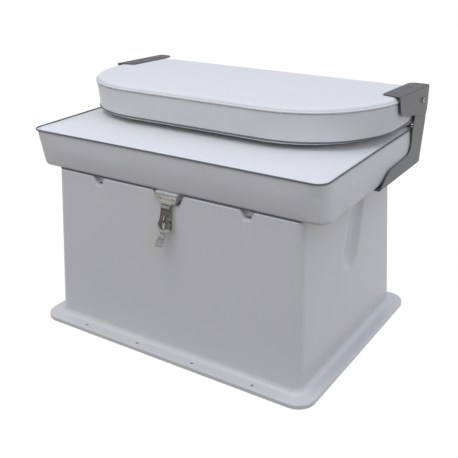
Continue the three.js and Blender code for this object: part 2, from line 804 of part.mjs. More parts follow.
// Swivel eye: a round-topped lug turned crosswise, its stem held by a nut inside the box
function swivelEye() {
  const foot = eyePlateThickness + 2 * seatGap;
  const lugFoot = foot + eyeLugCollar;
  const rise = eyeReach - lugFoot;
  const half = eyeLugWidth / 2;
  const shape = new THREE.Shape();
  shape.moveTo(half, lugFoot - eyeLugCollar / 2);
  shape.lineTo(half, lugFoot);
  for (let step = 1; step <= holeSides; step += 1) {
    const angle = Math.PI * step / holeSides;
    shape.lineTo(half * Math.cos(angle), lugFoot + rise * Math.sin(angle));
  }
  shape.lineTo(-half, lugFoot - eyeLugCollar / 2);
  const outlineUp = new THREE.Matrix4().makeBasis(xAxis, yAxis.clone().negate(), zAxis.clone().negate());
  const lug = plate(shape, outlineUp, -eyeLugThickness / 2, eyeLugThickness / 2);
  const loopMiddle = lugFoot + (rise - eyeLugCollar) / 2;
  const loopHalf = eyeLoopHeight / 2;
  const loop = roundedShape([
    [-eyeLoopWidth / 2, loopMiddle - loopHalf, loopHalf],
    [eyeLoopWidth / 2, loopMiddle - loopHalf, loopHalf],
    [eyeLoopWidth / 2, loopMiddle + loopHalf, loopHalf],
    [-eyeLoopWidth / 2, loopMiddle + loopHalf, loopHalf],
  ]);
  const inward = boxWall + eyeNutThickness + 2 * seatGap;
  const stem = rod(new THREE.Vector3(0, inward, 0), new THREE.Vector3(0, -lugFoot, 0), eyeStemRadius, boltSides);
  const collarRadius = eyeStemRadius * 1.5;
  const collar = rod(new THREE.Vector3(0, -foot, 0), new THREE.Vector3(0, -lugFoot, 0), collarRadius, boltSides);
  return cut(join(lug, collar, stem), plate(loop, outlineUp, -overrun, overrun));
}

const eyeNutCentre = new THREE.Vector3(0, boxWall + seatGap + eyeNutThickness / 2, 0);
addPiece(eyeGroup, 'swivel_eye', swivelEye(), finishes.stainless);
addPiece(
  eyeGroup,
  'swivel_eye_nut',
  hexNut(eyeNutCentre, yAxis, eyeNutRadius, eyeNutThickness, eyeStemRadius + seatGap),
  finishes.stainless,
);

// Lid: the board, and the frame below it that drops inside the rim and carries the hasp
const boardHalfWidth = seatFootWidth / 2 - seatWrap;
const boardFront = seatFootFront - seatWrap;
const boardRear = seatRear - seatWrap;

function boardRing(z, grow) {
  return planRing({
    halfWidth: boardHalfWidth + grow,
    front: boardFront + grow,
    rear: boardRear + grow,
    z,
    corner: roundCorner(boardCornerRadius + grow, 3),
  });
}

// Lower bracket: its flange lies under the board, and its plate stands outside the seat's side
const lowerInner = seatFootWidth / 2 + seatBulge / 2 + bracketSideGap;
const lowerOuter = lowerInner + bracketSheet;
const lowerTop = seatBase - seatGap;
const lowerBottom = lowerTop - bracketSheet;
const flangeScrewX = boardHalfWidth - lowerFlangeWidth / 3;
const bracketScrews = sides.map(({ side, sign }) => ({
  side,
  points: evenly(flangeScrewCount, pivotBehind - flangeScrewAhead, pivotBehind - flangeScrewNearAhead)
    .map((y) => new THREE.Vector3(sign * flangeScrewX, y, lowerBottom - seatGap)),
}));
const downward = zAxis.clone().negate();

function lidBoard() {
  const tools = [
    ...pianoLidScrews.map((at) => shankHole(at, downward, smallShankRadius, smallScrewLength)),
    ...bracketScrews.flatMap(({ points }) => points
      .map((at) => shankHole(at, downward, screwShankRadius, screwLength))),
  ];
  return cut(loft([seatBase, seatBase + boardThickness].map((z) => boardRing(z, 0))), ...tools);
}

const frameTop = seatBase - seatGap;
const frameHalfWidth = boxRimWidth / 2 - rimLand - frameClearance;
const frameFront = boxRimDepth / 2 - rimLand - frameClearance;

// A batten of the frame, seen from above as a box with its two outer corners rounded
function batten(left, right, front, rear, corners) {
  const shape = roundedShape([
    [left, front, corners.leftFront],
    [right, front, corners.rightFront],
    [right, rear, corners.rightRear],
    [left, rear, corners.leftRear],
  ]);
  return plate(shape, planView, frameTop - frameBarHeight, frameTop);
}

function frontBatten() {
  const corners = { leftFront: frameCornerRadius, rightFront: frameCornerRadius };
  const bar = batten(-frameHalfWidth, frameHalfWidth, -frameFront, frameBarWidth - frameFront, corners);
  const top = haspBlockTopWidth / 2;
  const foot = haspBlockFootWidth / 2;
  const shape = roundedShape([
    [-foot, frameTop - haspBlockHeight],
    [foot, frameTop - haspBlockHeight],
    [top, frameTop],
    [-top, frameTop],
  ]);
  const blockFace = -(haspY + haspBack) - seatGap;
  const block = plate(shape, frontView, frameFront - frameBarWidth, blockFace);
  const holes = haspLeafScrews.map((at) => shankHole(at, yAxis.clone().negate(), smallShankRadius, smallScrewLength));
  return cut(join(bar, block), ...holes);
}

function rearBatten() {
  const corners = { leftRear: frameCornerRadius, rightRear: frameCornerRadius };
  return batten(-frameHalfWidth, frameHalfWidth, frameRear - frameBarWidth, frameRear, corners);
}

function sideBatten(sign) {
  const [left, right] = [sign * frameHalfWidth, sign * (frameHalfWidth - frameBarWidth)].sort((a, b) => a - b);
  return batten(left, right, frameBarWidth - frameFront + seatGap, frameRear - frameBarWidth - seatGap, {});
}

addPiece(lidGroup, 'lid_board', lidBoard(), finishes.board);
addPiece(lidGroup, 'lid_frame_front', frontBatten(), finishes.gelcoat);
addPiece(lidGroup, 'lid_frame_rear', rearBatten(), finishes.gelcoat);
sides.forEach(({ side, sign }) => addPiece(lidGroup, `lid_frame_${side}`, sideBatten(sign), finishes.gelcoat));

// Rim seal: a strip under each half of the lid, from the hasp block round the corner and down the side
function rimSeal(sign) {
  const outerX = boxRimWidth / 2 - sealInset;
  const outerY = boxRimDepth / 2 - sealInset;
  const innerX = outerX - sealWidth;
  const innerY = outerY - sealWidth;
  const start = haspBlockTopWidth / 2 + sealInset;
  const rear = frameRear;
  const shape = roundedShape([
    [sign * start, -outerY],
    [sign * outerX, -outerY, boxCornerRadius / 2],
    [sign * outerX, rear],
    [sign * innerX, rear],
    [sign * innerX, -innerY, innerCornerRadius / 2],
    [sign * start, -innerY],
  ]);
  return plate(shape, planView, boxHeight + seatGap, seatBase - seatGap);
}

sides.forEach(({ side, sign }) => addPiece(lidGroup, `rim_seal_${side}`, rimSeal(sign), finishes.seal));

// Seat cushion: rings from its foot up the boxing to the piping, then in over the crown

function seatRing({ width, front, rear, z, radius, inset = 0, draw = seatSideDraw }) {
  return planRing({
    halfWidth: width / 2 - inset,
    front: front - inset,
    rear: rear - inset,
    z,
    corner: roundCorner(radius),
    sideSteps: seatSideSteps,
    draw,
  });
}

const pipedRing = seatRing({
  width: seatPipedWidth,
  front: seatPipedFront,
  rear: seatRear,
  z: seatPiped,
  radius: seatPipedCorner,
});

// Shares of the boxing's height, and of its bulge there
const seatSideShares = [[0.12, 0.35], [0.35, 0.9], [0.6, 1], [0.85, 0.5]];
// Shares of the half depth that a crown ring is set in, and of the crown's rise there
const seatCrownShares = [[0.04, 0.3], [0.1, 0.55], [0.24, 0.82], [0.45, 0.96], [0.7, 1]];

function seatCushion() {
  const foot = seatBase + seatGap;
  const rings = [seatRing({
    width: seatFootWidth - 2 * seatFootRound,
    front: seatFootFront - seatFootRound,
    rear: seatRear - seatFootRound,
    z: foot,
    radius: seatFootCorner - seatFootRound,
  })];
  for (const [height, bulge] of seatSideShares) {
    const blend = (from, to) => from + (to - from) * height;
    rings.push(seatRing({
      width: blend(seatFootWidth, seatPipedWidth) + seatBulge * bulge,
      front: blend(seatFootFront, seatPipedFront) + seatBulge * bulge,
      rear: seatRear + seatBulge * bulge / 2,
      z: blend(foot, seatPiped),
      radius: blend(seatFootCorner, seatPipedCorner),
    }));
  }
  rings.push(pipedRing);
  for (const [share, rise] of seatCrownShares) {
    const inset = share * seatRear;
    rings.push(seatRing({
      width: seatPipedWidth,
      front: seatPipedFront,
      rear: seatRear,
      z: seatPiped + seatCrown * rise,
      radius: Math.max(seatPipedCorner - inset, seatPipedCorner / 4),
      inset,
      draw: seatSideDraw * (1 - share),
    }));
  }
  const pocket = loft([
    boardRing(seatBase - overrun, seatGap),
    boardRing(seatBase + boardThickness + seatGap, seatGap),
  ]);
  return cut(loft(rings), pocket, pipeAlong(pipedRing, pipingRadius + seatGap));
}

addPiece(lidGroup, 'seat_cushion', seatCushion(), finishes.vinyl);
addPiece(lidGroup, 'seat_piping', pipeAlong(pipedRing, pipingRadius), finishes.piping);

addPiece(lidGroup, 'hinge_lid_leaf', pianoLidLeaf(), finishes.stainless);
addPiece(
  boxGroup,
  'hinge_pin',
  rodAcross(-pianoLength / 2, pianoLength / 2, pianoY, pianoZ, pianoPinRadius, barrelSides),
  finishes.stainless,
);
pianoLidScrews.forEach((at, index) => {
  addPiece(lidGroup, `hinge_lid_screw_${index + 1}`, smallScrew(at, downward), finishes.stainless);
});

// Hasp leaf: shoulders above, narrowing to the two outer barrels
function haspLeaf() {
  const pinZ = haspPinHeight;
  const wide = haspLeafWidth / 2;
  const narrow = haspWidth / 2;
  const shape = roundedShape([
    [-narrow, pinZ],
    [narrow, pinZ],
    [narrow, pinZ + haspBarrelRadius + haspPlate],
    [wide, pinZ + haspLeafShoulder, haspPlate],
    [wide, pinZ + haspLeafTop, haspPlate * 2],
    [-wide, pinZ + haspLeafTop, haspPlate * 2],
    [-wide, pinZ + haspLeafShoulder, haspPlate],
    [-narrow, pinZ + haspBarrelRadius + haspPlate],
  ]);
  const face = plate(shape, frontView, -(haspY + haspBack), -(haspY + haspFront));
  const middle = haspStrapBarrelWidth / 2;
  const barrels = sides.map(({ sign }) => rodAcross(
    sign * (middle + seatGap),
    sign * narrow,
    haspY,
    pinZ,
    haspBarrelRadius,
    barrelSides,
  ));
  const room = rodAcross(-middle - seatGap, middle + seatGap, haspY, pinZ, haspBarrelRadius + seatGap, barrelSides);
  const bore = rodAcross(-wide, wide, haspY, pinZ, haspPinRadius + seatGap, barrelSides);
  const holes = haspLeafScrews.map((at) => shankHole(at, yAxis.clone().negate(), smallShankRadius, overrun));
  return cut(join(face, ...barrels), room, bore, ...holes);
}

addPiece(lidGroup, 'hasp_leaf', haspLeaf(), finishes.stainless);
addPiece(
  lidGroup,
  'hasp_pin',
  rodAcross(-haspWidth / 2, haspWidth / 2, haspY, haspPinHeight, haspPinRadius, barrelSides),
  finishes.stainless,
);
haspLeafScrews.forEach((at, index) => {
  addPiece(lidGroup, `hasp_leaf_screw_${sides[index].side}`, smallScrew(at, yAxis.clone().negate()), finishes.stainless);
});

// Hasp strap, in its own frame: the pin is the origin, the strap runs down -Z and its back faces +Y
strapGroup.position.copy(haspPin);
strapGroup.rotation.x = -degrees(haspLeanDegrees);

function haspStrap() {
  const half = haspWidth / 2;
  const neck = strapNeckWidth / 2;
  const shape = roundedShape([
    [-half, 0],
    [-half, -strapNeckAt, half],
    [-neck, -strapNeckAt],
    [-neck, -strapTabStart - haspPlate],
    [neck, -strapTabStart - haspPlate],
    [neck, -strapNeckAt],
    [half, -strapNeckAt, half],
    [half, 0],
  ]);
  const strip = plate(shape, frontView, -haspBack, -haspFront);
  const boss = headedPin(
    new THREE.Vector3(0, haspBack, -strapBossAt),
    yAxis.clone().negate(),
    strapBossRadius,
    haspPlate + strapBossRise,
    strapBossRadius / 2,
    0,
    boltSides,
  );
  const tabShape = roundedShape([
    [-neck, 0],
    [-strapTabWidth / 2, -strapTabLength * 2 / 3],
    [-strapTabWidth / 2, -strapTabLength, neck],
    [strapTabWidth / 2, -strapTabLength, neck],
    [strapTabWidth / 2, -strapTabLength * 2 / 3],
    [neck, 0],
  ]);
  const bend = new THREE.Matrix4().makeTranslation(0, haspBack, -strapTabStart)
    .multiply(new THREE.Matrix4().makeRotationX(-degrees(strapTabBendDegrees)))
    .multiply(frontView);
  const tab = plate(tabShape, bend, 0, haspPlate);
  const middle = haspStrapBarrelWidth / 2;
  const barrel = rodAcross(-middle, middle, 0, 0, haspBarrelRadius, barrelSides);
  const rooms = sides.map(({ sign }) => rodAcross(
    sign * middle,
    sign * haspWidth,
    0,
    0,
    haspBarrelRadius + seatGap,
    barrelSides,
  ));
  const bore = rodAcross(-half, half, 0, 0, haspPinRadius + seatGap, barrelSides);
  const slotHalf = strapSlotWidth / 2;
  const slotShape = roundedShape([
    [-slotHalf, -strapSlotEnd, slotHalf],
    [slotHalf, -strapSlotEnd, slotHalf],
    [slotHalf, -strapSlotStart, slotHalf],
    [-slotHalf, -strapSlotStart, slotHalf],
  ]);
  const slot = plate(slotShape, frontView, -overrun, overrun);
  return cut(join(cut(strip, ...rooms), barrel, boss, tab), bore, slot);
}

addPiece(strapGroup, 'hasp_strap', haspStrap(), finishes.stainless);

// Pivot stack at each side: lower plate, washer, upper plate and bolt head outside, and the nut inside
const washerInner = lowerOuter + seatGap;
const upperInner = washerInner + washerThickness + seatGap;
const upperOuter = upperInner + bracketSheet;
const boltHeadInner = upperOuter + seatGap;
const nutOuter = lowerInner - seatGap;

function pivotHole(sign) {
  const far = upperOuter + overrun;
  return rodAcross(sign * (lowerInner - overrun), sign * far, pivotBehind, pivotHeight, boltRadius + seatGap, boltSides);
}

// A folded sheet's section, seen along Y: a plate on edge and a flange inward from its bend
function foldedSection(inner, outer, level, flangeEnd, top, sign) {
  const upward = top > level ? 1 : -1;
  return roundedShape([
    [sign * flangeEnd, level],
    [sign * outer, level, bracketBend],
    [sign * outer, top],
    [sign * inner, top],
    [sign * inner, level + upward * bracketSheet, bracketBend - bracketSheet],
    [sign * flangeEnd, level + upward * bracketSheet],
  ]);
}

const spanBack = [-(flangeDepth), flangeDepth];

function lowerBracket(sign) {
  const flangeEnd = lowerOuter - lowerFlangeWidth;
  const footFront = pivotBehind - lowerFootAhead;
  const footRear = pivotBehind + lowerFootBehind;
  const legFront = pivotBehind - lowerLegAhead;
  const shoulder = seatPiped + lowerShoulderRise;
  const sheetTop = pivotHeight + lowerLugRadius + overrun;
  const section = foldedSection(lowerInner, lowerOuter, lowerBottom, flangeEnd, sheetTop, sign);
  const sheet = plate(section, frontView, ...spanBack);
  const legOutline = roundedShape([
    [footFront, lowerBottom - overrun],
    [footFront, lowerBottom + lowerFootTip],
    [footFront + lowerFootTaper, lowerBottom + lowerFootHeight, lowerFootCorner],
    [legFront, lowerBottom + lowerFootHeight + lowerFootRise, lowerLegFillet],
    [legFront, seatPiped + lowerKneeRise, lowerLegCorner],
    [pivotBehind - lowerLugRadius, pivotHeight],
    [pivotBehind + lowerLugRadius, pivotHeight],
    [pivotBehind + lowerLugRadius - lowerShoulderSetback, shoulder],
    [pivotBehind + lowerLegBehind, shoulder, lowerLegCorner],
    [footRear, lowerBottom],
    [footRear, lowerBottom - overrun],
  ]);
  const leg = plate(legOutline, sideView, -flangeWidth, flangeWidth);
  const lug = rodAcross(-flangeWidth, flangeWidth, pivotBehind, pivotHeight, lowerLugRadius, boltSides);
  const holes = bracketScrews.flatMap(({ points }) => points
    .map((at) => shankHole(at, downward, screwShankRadius, overrun)));
  return cut(sheet.intersect(join(leg, lug)), pivotHole(sign), ...holes);
}

// Upper bracket: a side plate outside the lower one, and a tab folded in over the back panel
const tabBottom = backTopHeight + seatGap;
const tabTop = tabBottom + bracketSheet;
const tabScrews = sides.map(({ side, sign }) => ({
  side,
  points: [['front', tabScrewAhead], ['rear', tabScrewNearAhead]].map(([place, ahead]) => ({
    place,
    at: new THREE.Vector3(sign * (upperOuter - tabScrewInset), pivotBehind - ahead, tabTop + seatGap),
  })),
}));
const tabScrewHoles = tabScrews.flatMap(({ points }) => points
  .map(({ at }) => shankHole(at, zAxis, screwShankRadius, screwLength + bracketSheet)));

function upperBracket(sign) {
  const tabEnd = upperOuter - tabWidth;
  const front = pivotBehind - upperAhead;
  const rear = pivotBehind + upperBehind;
  const rearFoot = seatPiped + upperRearFootRise;
  const section = foldedSection(upperInner, upperOuter, tabTop, tabEnd, rearFoot - overrun, sign);
  const sheet = plate(section, frontView, ...spanBack);
  const sideOutline = roundedShape([
    [front, tabTop + overrun],
    [front, tabTop],
    [front + upperFrontSlope, seatPiped + upperFrontFootRise, upperCorner],
    [rear - upperRearChamfer, rearFoot, upperRearChamfer / 2],
    [rear, seatPiped + upperRearKneeRise, upperRearChamfer / 2],
    [rear, tabTop, upperCorner],
    [rear - upperCorner, tabTop + overrun],
  ]);
  const tabOutline = roundedShape([
    [sign * (upperOuter + overrun), front],
    [sign * (upperOuter - bracketSheet), front],
    [sign * tabEnd, front + tabTipSetback, bracketBend],
    [sign * tabEnd, rear, tabRearCorner],
    [sign * (upperOuter + overrun), rear],
  ]);
  const side = plate(sideOutline, sideView, -flangeWidth, flangeWidth);
  const tab = plate(tabOutline, planView, rearFoot - overrun, tabTop + overrun);
  return cut(sheet.intersect(side).intersect(tab), pivotHole(sign), ...tabScrewHoles);
}

function pivotBolt(sign) {
  const outward = xAxis.clone().multiplyScalar(sign);
  const length = boltHeadInner - nutOuter + nutThickness + boltProud;
  const at = new THREE.Vector3(sign * boltHeadInner, pivotBehind, pivotHeight);
  return headedPin(at, outward, boltHeadRadius, boltHeadHeight, boltRadius, length, boltSides);
}

function pivotWasher(sign) {
  const inner = sign * washerInner;
  const disc = rodAcross(inner, inner + sign * washerThickness, pivotBehind, pivotHeight, washerRadius, boltSides);
  return cut(disc, pivotHole(sign));
}

function pivotNut(sign) {
  const centre = new THREE.Vector3(sign * (nutOuter - nutThickness / 2), pivotBehind, pivotHeight);
  return hexNut(centre, xAxis, nutRadius, nutThickness, boltRadius + seatGap);
}

sides.forEach(({ side, sign }) => {
  addPiece(lidGroup, `seat_bracket_${side}`, lowerBracket(sign), finishes.bracket);
  addPiece(lidGroup, `pivot_bolt_${side}`, pivotBolt(sign), finishes.stainless);
  addPiece(lidGroup, `pivot_washer_${side}`, pivotWasher(sign), finishes.nylon);
  addPiece(lidGroup, `pivot_nut_${side}`, pivotNut(sign), finishes.stainless);
});
bracketScrews.forEach(({ side, points }) => {
  points.forEach((at, index) => {
    addPiece(lidGroup, `seat_bracket_screw_${side}_${index + 1}`, screw(at, downward), finishes.stainless);
  });
});

// Backrest: D-shaped rings, wide at the back panel and tapering down to the piping round its face
function backRing(z, { side = 0, front = side, rear = side } = {}) {
  return planRing({
    halfWidth: backHalfWidth - side,
    front: backFront - front,
    rear: backRear - rear,
    z,
    corner: {
      across: backCornerAcross - side,
      along: backCornerAlong - front,
      steps: backCornerSteps,
      fullness: backCornerFullness,
    },
    rearCorner: roundCorner(backRearCorner, backRearSteps),
    sideSteps: 2,
  });
}

const panelBottom = backTopHeight - backPanelThickness;
const weltPath = backRing(panelBottom);
const backPipedPath = backRing(backCushionPiped, { side: backTaperSide, front: backTaperFront, rear: backTaperRear });

// Shares of the bevel's width and of the panel's thickness
const panelShares = [[0, 0.25], [0.12, 0.55], [0.4, 0.82], [1, 1]];

function backPanel() {
  const rings = [backRing(panelBottom + seatGap / 2)];
  for (const [inset, rise] of panelShares) {
    rings.push(backRing(panelBottom + backPanelThickness * rise, { side: backPanelBevel * inset }));
  }
  return cut(loft(rings), pipeAlong(weltPath, weltRadius + seatGap), ...tabScrewHoles);
}

// Shares of the taper, and of the bulge, from the piping up to the welt
const backSideShares = [[1, 0], [0.85, 0.5], [0.5, 1], [0.2, 0.7], [0, 0]];
// Shares of the half depth that a face ring is set in, and of the crown left there
const backFaceShares = [[0.75, 0], [0.4, 0.02], [0.15, 0.1], [0.05, 0.3], [0.015, 0.6]];

function backCushion() {
  const halfDepth = (backFront + backRear) / 2;
  const rings = backFaceShares.map(([share, left]) => {
    const inset = share * halfDepth;
    return backRing(backCushionFace + (backCushionPiped - backCushionFace) * left, {
      side: backTaperSide + inset,
      front: backTaperFront + inset,
      rear: backTaperRear + inset,
    });
  });
  const top = panelBottom - seatGap / 2;
  for (const [taper, bulge] of backSideShares) {
    const out = backBulge * bulge;
    rings.push(backRing(top + (backCushionPiped - top) * taper, {
      side: backTaperSide * taper - out,
      front: backTaperFront * taper - out,
      rear: backTaperRear * taper,
    }));
  }
  const grooves = [pipeAlong(backPipedPath, pipingRadius + seatGap), pipeAlong(weltPath, weltRadius + seatGap)];
  return cut(loft(rings), ...grooves, ...tabScrewHoles);
}

addPiece(backrestFrame, 'backrest_panel', backPanel(), finishes.vinyl);
addPiece(backrestFrame, 'backrest_cushion', backCushion(), finishes.vinyl);
addPiece(backrestFrame, 'backrest_welt', pipeAlong(weltPath, weltRadius), finishes.vinyl);
addPiece(backrestFrame, 'backrest_piping', pipeAlong(backPipedPath, pipingRadius), finishes.piping);
sides.forEach(({ side, sign }) => {
  addPiece(backrestFrame, `backrest_bracket_${side}`, upperBracket(sign), finishes.bracket);
});
tabScrews.forEach(({ side, points }) => {
  points.forEach(({ place, at }) => {
    const name = `backrest_bracket_screw_${side}_${place}`;
    addPiece(backrestFrame, name, screw(at, zAxis, screwLength + bracketSheet), finishes.stainless);
  });
});

export default seatBox;
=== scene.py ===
"""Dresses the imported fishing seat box: gelcoat, sewn marine upholstery, painted brackets, polished steel.

Lengths are metres and places are in the part's own frame: X runs across the seat, -Y is its front and +Z
is up. The backrest lies folded on the seat at rest, so its pieces are drawn level and then tilted about
its pivots.
"""

from __future__ import annotations

import json
import logging
import math
from dataclasses import dataclass, replace
from enum import Enum
from typing import Callable, Iterable, Mapping, Sequence

import bmesh
import bpy
import numpy as np
from mathutils import Matrix, Vector
from mathutils.kdtree import KDTree

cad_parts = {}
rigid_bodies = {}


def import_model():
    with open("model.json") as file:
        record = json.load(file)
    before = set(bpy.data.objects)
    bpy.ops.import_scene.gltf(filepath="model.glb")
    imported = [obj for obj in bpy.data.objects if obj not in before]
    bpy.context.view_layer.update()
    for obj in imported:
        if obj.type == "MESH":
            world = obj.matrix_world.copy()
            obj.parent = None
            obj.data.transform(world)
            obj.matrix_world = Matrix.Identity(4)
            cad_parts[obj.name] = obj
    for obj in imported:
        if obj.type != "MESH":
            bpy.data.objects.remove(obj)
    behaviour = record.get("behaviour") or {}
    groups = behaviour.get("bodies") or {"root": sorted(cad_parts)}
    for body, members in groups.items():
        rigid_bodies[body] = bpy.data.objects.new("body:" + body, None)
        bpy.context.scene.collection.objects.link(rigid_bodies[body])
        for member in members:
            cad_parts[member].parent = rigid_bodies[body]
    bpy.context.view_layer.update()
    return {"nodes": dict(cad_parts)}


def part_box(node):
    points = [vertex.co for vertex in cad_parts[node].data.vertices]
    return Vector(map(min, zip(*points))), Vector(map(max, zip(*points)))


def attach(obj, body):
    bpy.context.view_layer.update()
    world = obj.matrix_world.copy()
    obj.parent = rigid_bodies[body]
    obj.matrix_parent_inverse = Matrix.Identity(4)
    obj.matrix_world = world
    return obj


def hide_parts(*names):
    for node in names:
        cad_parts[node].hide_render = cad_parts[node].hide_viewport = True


for stray in list(bpy.data.objects):
    bpy.data.objects.remove(stray)
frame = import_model()

log = logging.getLogger("seat_box")
MM = 0.001
# The folded back lies this far off level, its front higher
BACK_LEAN = math.radians(2.2)
Colour = tuple[float, float, float]
Stops = tuple[tuple[float, float | Colour], ...]

# Points along a sewn line stand this far apart
SEAM_STEP = 3 * MM
# Above 1, so that a cover is held fast for a little way beside its seam
SEAM_HOLD = 1.4
# Sewn edges show as edges only where they are this sharp, in degrees
SEWN_EDGE = 60.0
TINY = 1e-9
SQUARE = ((-1, -1), (1, -1), (1, 1), (-1, 1))


class Body(Enum):
    """The part's moving bodies."""

    BOX = "box"
    EYE = "swivel_eye"
    LID = "lid"
    STRAP = "hasp_strap"
    BACKREST = "backrest"


class Side(Enum):
    """Which end of the seat a fitting is at."""

    LEFT = -1
    RIGHT = 1

    @property
    def word(self) -> str:
        """The word that the frame's node names use."""
        return self.name.lower()

    @property
    def outward(self) -> Vector:
        """The direction away from the seat's middle."""
        return Vector((self.value, 0.0, 0.0))


class Socket:
    """A value in a node tree that can be used in ordinary arithmetic."""

    def __init__(self, tree: NodeTree, output: bpy.types.NodeSocket) -> None:
        """Wraps one output socket of a tree."""
        self.tree = tree
        self.output = output

    def _math(self, operation: str, first: Socket | float, second: Socket | float) -> Socket:
        """One Math node on two values."""
        return self.tree.node("ShaderNodeMath", {"operation": operation}, {0: first, 1: second})

    def __add__(self, other: Socket | float) -> Socket:
        """This value plus another."""
        return self._math("ADD", self, other)

    __radd__ = __add__

    def __sub__(self, other: Socket | float) -> Socket:
        """This value minus another."""
        return self._math("SUBTRACT", self, other)

    def __rsub__(self, other: float) -> Socket:
        """A number minus this value."""
        return self._math("SUBTRACT", other, self)

    def __mul__(self, other: Socket | float) -> Socket:
        """This value times another."""
        return self._math("MULTIPLY", self, other)

    __rmul__ = __mul__


class NodeTree:
    """The node tree of a material or of the sky, built one node at a time."""

    def __init__(self, owner: bpy.types.Material | bpy.types.World) -> None:
        """Empties the tree.

        Args:
            owner: The material or world that the tree belongs to.
        """
        owner.use_nodes = True
        self.tree = owner.node_tree
        self.tree.nodes.clear()

    def node(
        self,
        kind: str,
        settings: Mapping[str, object],
        inputs: Mapping[str | int, Socket | float | Sequence[float]],
        output: str | int = 0,
    ) -> Socket:
        """Adds one node.

        Args:
            kind: The node's type.
            settings: The node's own settings; a ramp's stops are pairs of a place and a grey level or colour.
            inputs: A value or a link for each socket named or numbered.
            output: The output that is wanted.

        Returns:
            The wanted output.
        """
        made = self.tree.nodes.new(kind)
        for name, value in settings.items():
            if name == "stops":
                self._set_stops(made.color_ramp, value)
            else:
                setattr(made, name, value)
        for name, value in inputs.items():
            if isinstance(value, Socket):
                self.tree.links.new(value.output, made.inputs[name])
            else:
                made.inputs[name].default_value = value
        return Socket(self, made.outputs[output] if made.outputs else None)

    @staticmethod
    def _set_stops(ramp: bpy.types.ColorRamp, stops: Stops) -> None:
        """Gives a ramp its colours.

        Args:
            ramp: The ramp of a new node, which has one stop at each end.
            stops: Pairs of a place and a grey level or colour, in order.
        """
        for place, _ in stops[1:-1]:
            ramp.elements.new(place)
        for element, (place, level) in zip(ramp.elements, stops):
            element.position = place
            element.color = (level, level, level, 1.0) if isinstance(level, float) else (*level, 1.0)


@dataclass(frozen=True)
class Grain:
    """A noise: its cells to a metre, its octaves, and factors on the three axes before it is laid."""

    scale: float
    detail: float = 2.0
    stretch: tuple[float, float, float] = (1.0, 1.0, 1.0)


class Recipe(NodeTree):
    """One material's node tree, from its texture coordinates to its surface."""

    def __init__(self, name: str) -> None:
        """Starts a material.

        Args:
            name: The material's name.
        """
        self.material = bpy.data.materials.new(name)
        super().__init__(self.material)
        self.place = self.node("ShaderNodeTexCoord", {}, {}, "Object")

    def noise(self, grain: Grain) -> Socket:
        """Noise from 0 to 1.

        Args:
            grain: Its grain.

        Returns:
            The noise.
        """
        laid = self.node("ShaderNodeMapping", {}, {"Vector": self.place, "Scale": grain.stretch})
        inputs = {"Vector": laid, "Scale": grain.scale, "Detail": grain.detail}
        return self.node("ShaderNodeTexNoise", {}, inputs)

    def cells(self, scale: float) -> Socket:
        """Distance to the middle of the nearest grain cell, with so many cells to a metre."""
        inputs = {"Vector": self.place, "Scale": scale}
        return self.node("ShaderNodeTexVoronoi", {"feature": "SMOOTH_F1"}, inputs)

    def levels(self, value: Socket, stops: Stops) -> Socket:
        """A value passed through a ramp of grey levels."""
        return self.node("ShaderNodeValToRGB", {"stops": stops}, {"Fac": value})

    def blend(self, share: Socket, first: Colour, second: Colour) -> Socket:
        """A colour between two, by a share that changes over the surface."""
        inputs = {0: share, 6: (*first, 1.0), 7: (*second, 1.0)}
        return self.node("ShaderNodeMix", {"data_type": "RGBA"}, inputs, 2)

    def relief(self, height: Socket, depth: float, below: Socket | None = None) -> Socket:
        """A normal that stands for a fine relief.

        Args:
            height: The relief from 0 to 1.
            depth: Its depth in metres.
            below: A coarser relief's normal that this one lies on.

        Returns:
            The bent normal.
        """
        inputs: dict[str, Socket | float] = {"Height": height, "Distance": depth, "Strength": 1.0}
        if below is not None:
            inputs["Normal"] = below
        return self.node("ShaderNodeBump", {}, inputs)

    def surface(self, inputs: Mapping[str, Socket | float | Sequence[float]]) -> bpy.types.Material:
        """Ends the recipe with a Principled surface.

        Args:
            inputs: The surface's values and links.

        Returns:
            The finished material.
        """
        skin_node = self.node("ShaderNodeBsdfPrincipled", {}, inputs)
        self.node("ShaderNodeOutputMaterial", {}, {"Surface": skin_node})
        return self.material


@dataclass(frozen=True)
class Gelcoat:
    """White gelcoat on moulded glass fibre: glossy, with a faint orange peel and long soft waves."""

    clean: Colour = (0.65, 0.65, 0.655)
    worn: Colour = (0.62, 0.62, 0.625)
    roughness: tuple[float, float] = (0.22, 0.36)
    wear: Grain = Grain(3.5)
    handling: Grain = Grain(38.0, 3.0, (0.5, 1.0, 0.8))
    handled: float = 0.05
    waves: Grain = Grain(5.0, 1.0)
    wave_depth: float = 1.2 * MM
    peel: Grain = Grain(330.0)
    peel_depth: float = 0.02 * MM
    coat: float = 0.2
    coat_roughness: float = 0.12

    def material(self) -> bpy.types.Material:
        """Builds the node tree.

        Returns:
            The material.
        """
        recipe = Recipe("white_gelcoat")
        wear = recipe.noise(self.wear)
        handling = recipe.noise(self.handling)
        waves = recipe.relief(recipe.noise(self.waves), self.wave_depth)
        low, high = self.roughness
        return recipe.surface({
            "Base Color": recipe.blend(wear, self.clean, self.worn),
            "Roughness": wear * (high - low) + handling * self.handled + low,
            "Normal": recipe.relief(recipe.noise(self.peel), self.peel_depth, waves),
            "Coat Weight": self.coat,
            "Coat Roughness": self.coat_roughness,
        })


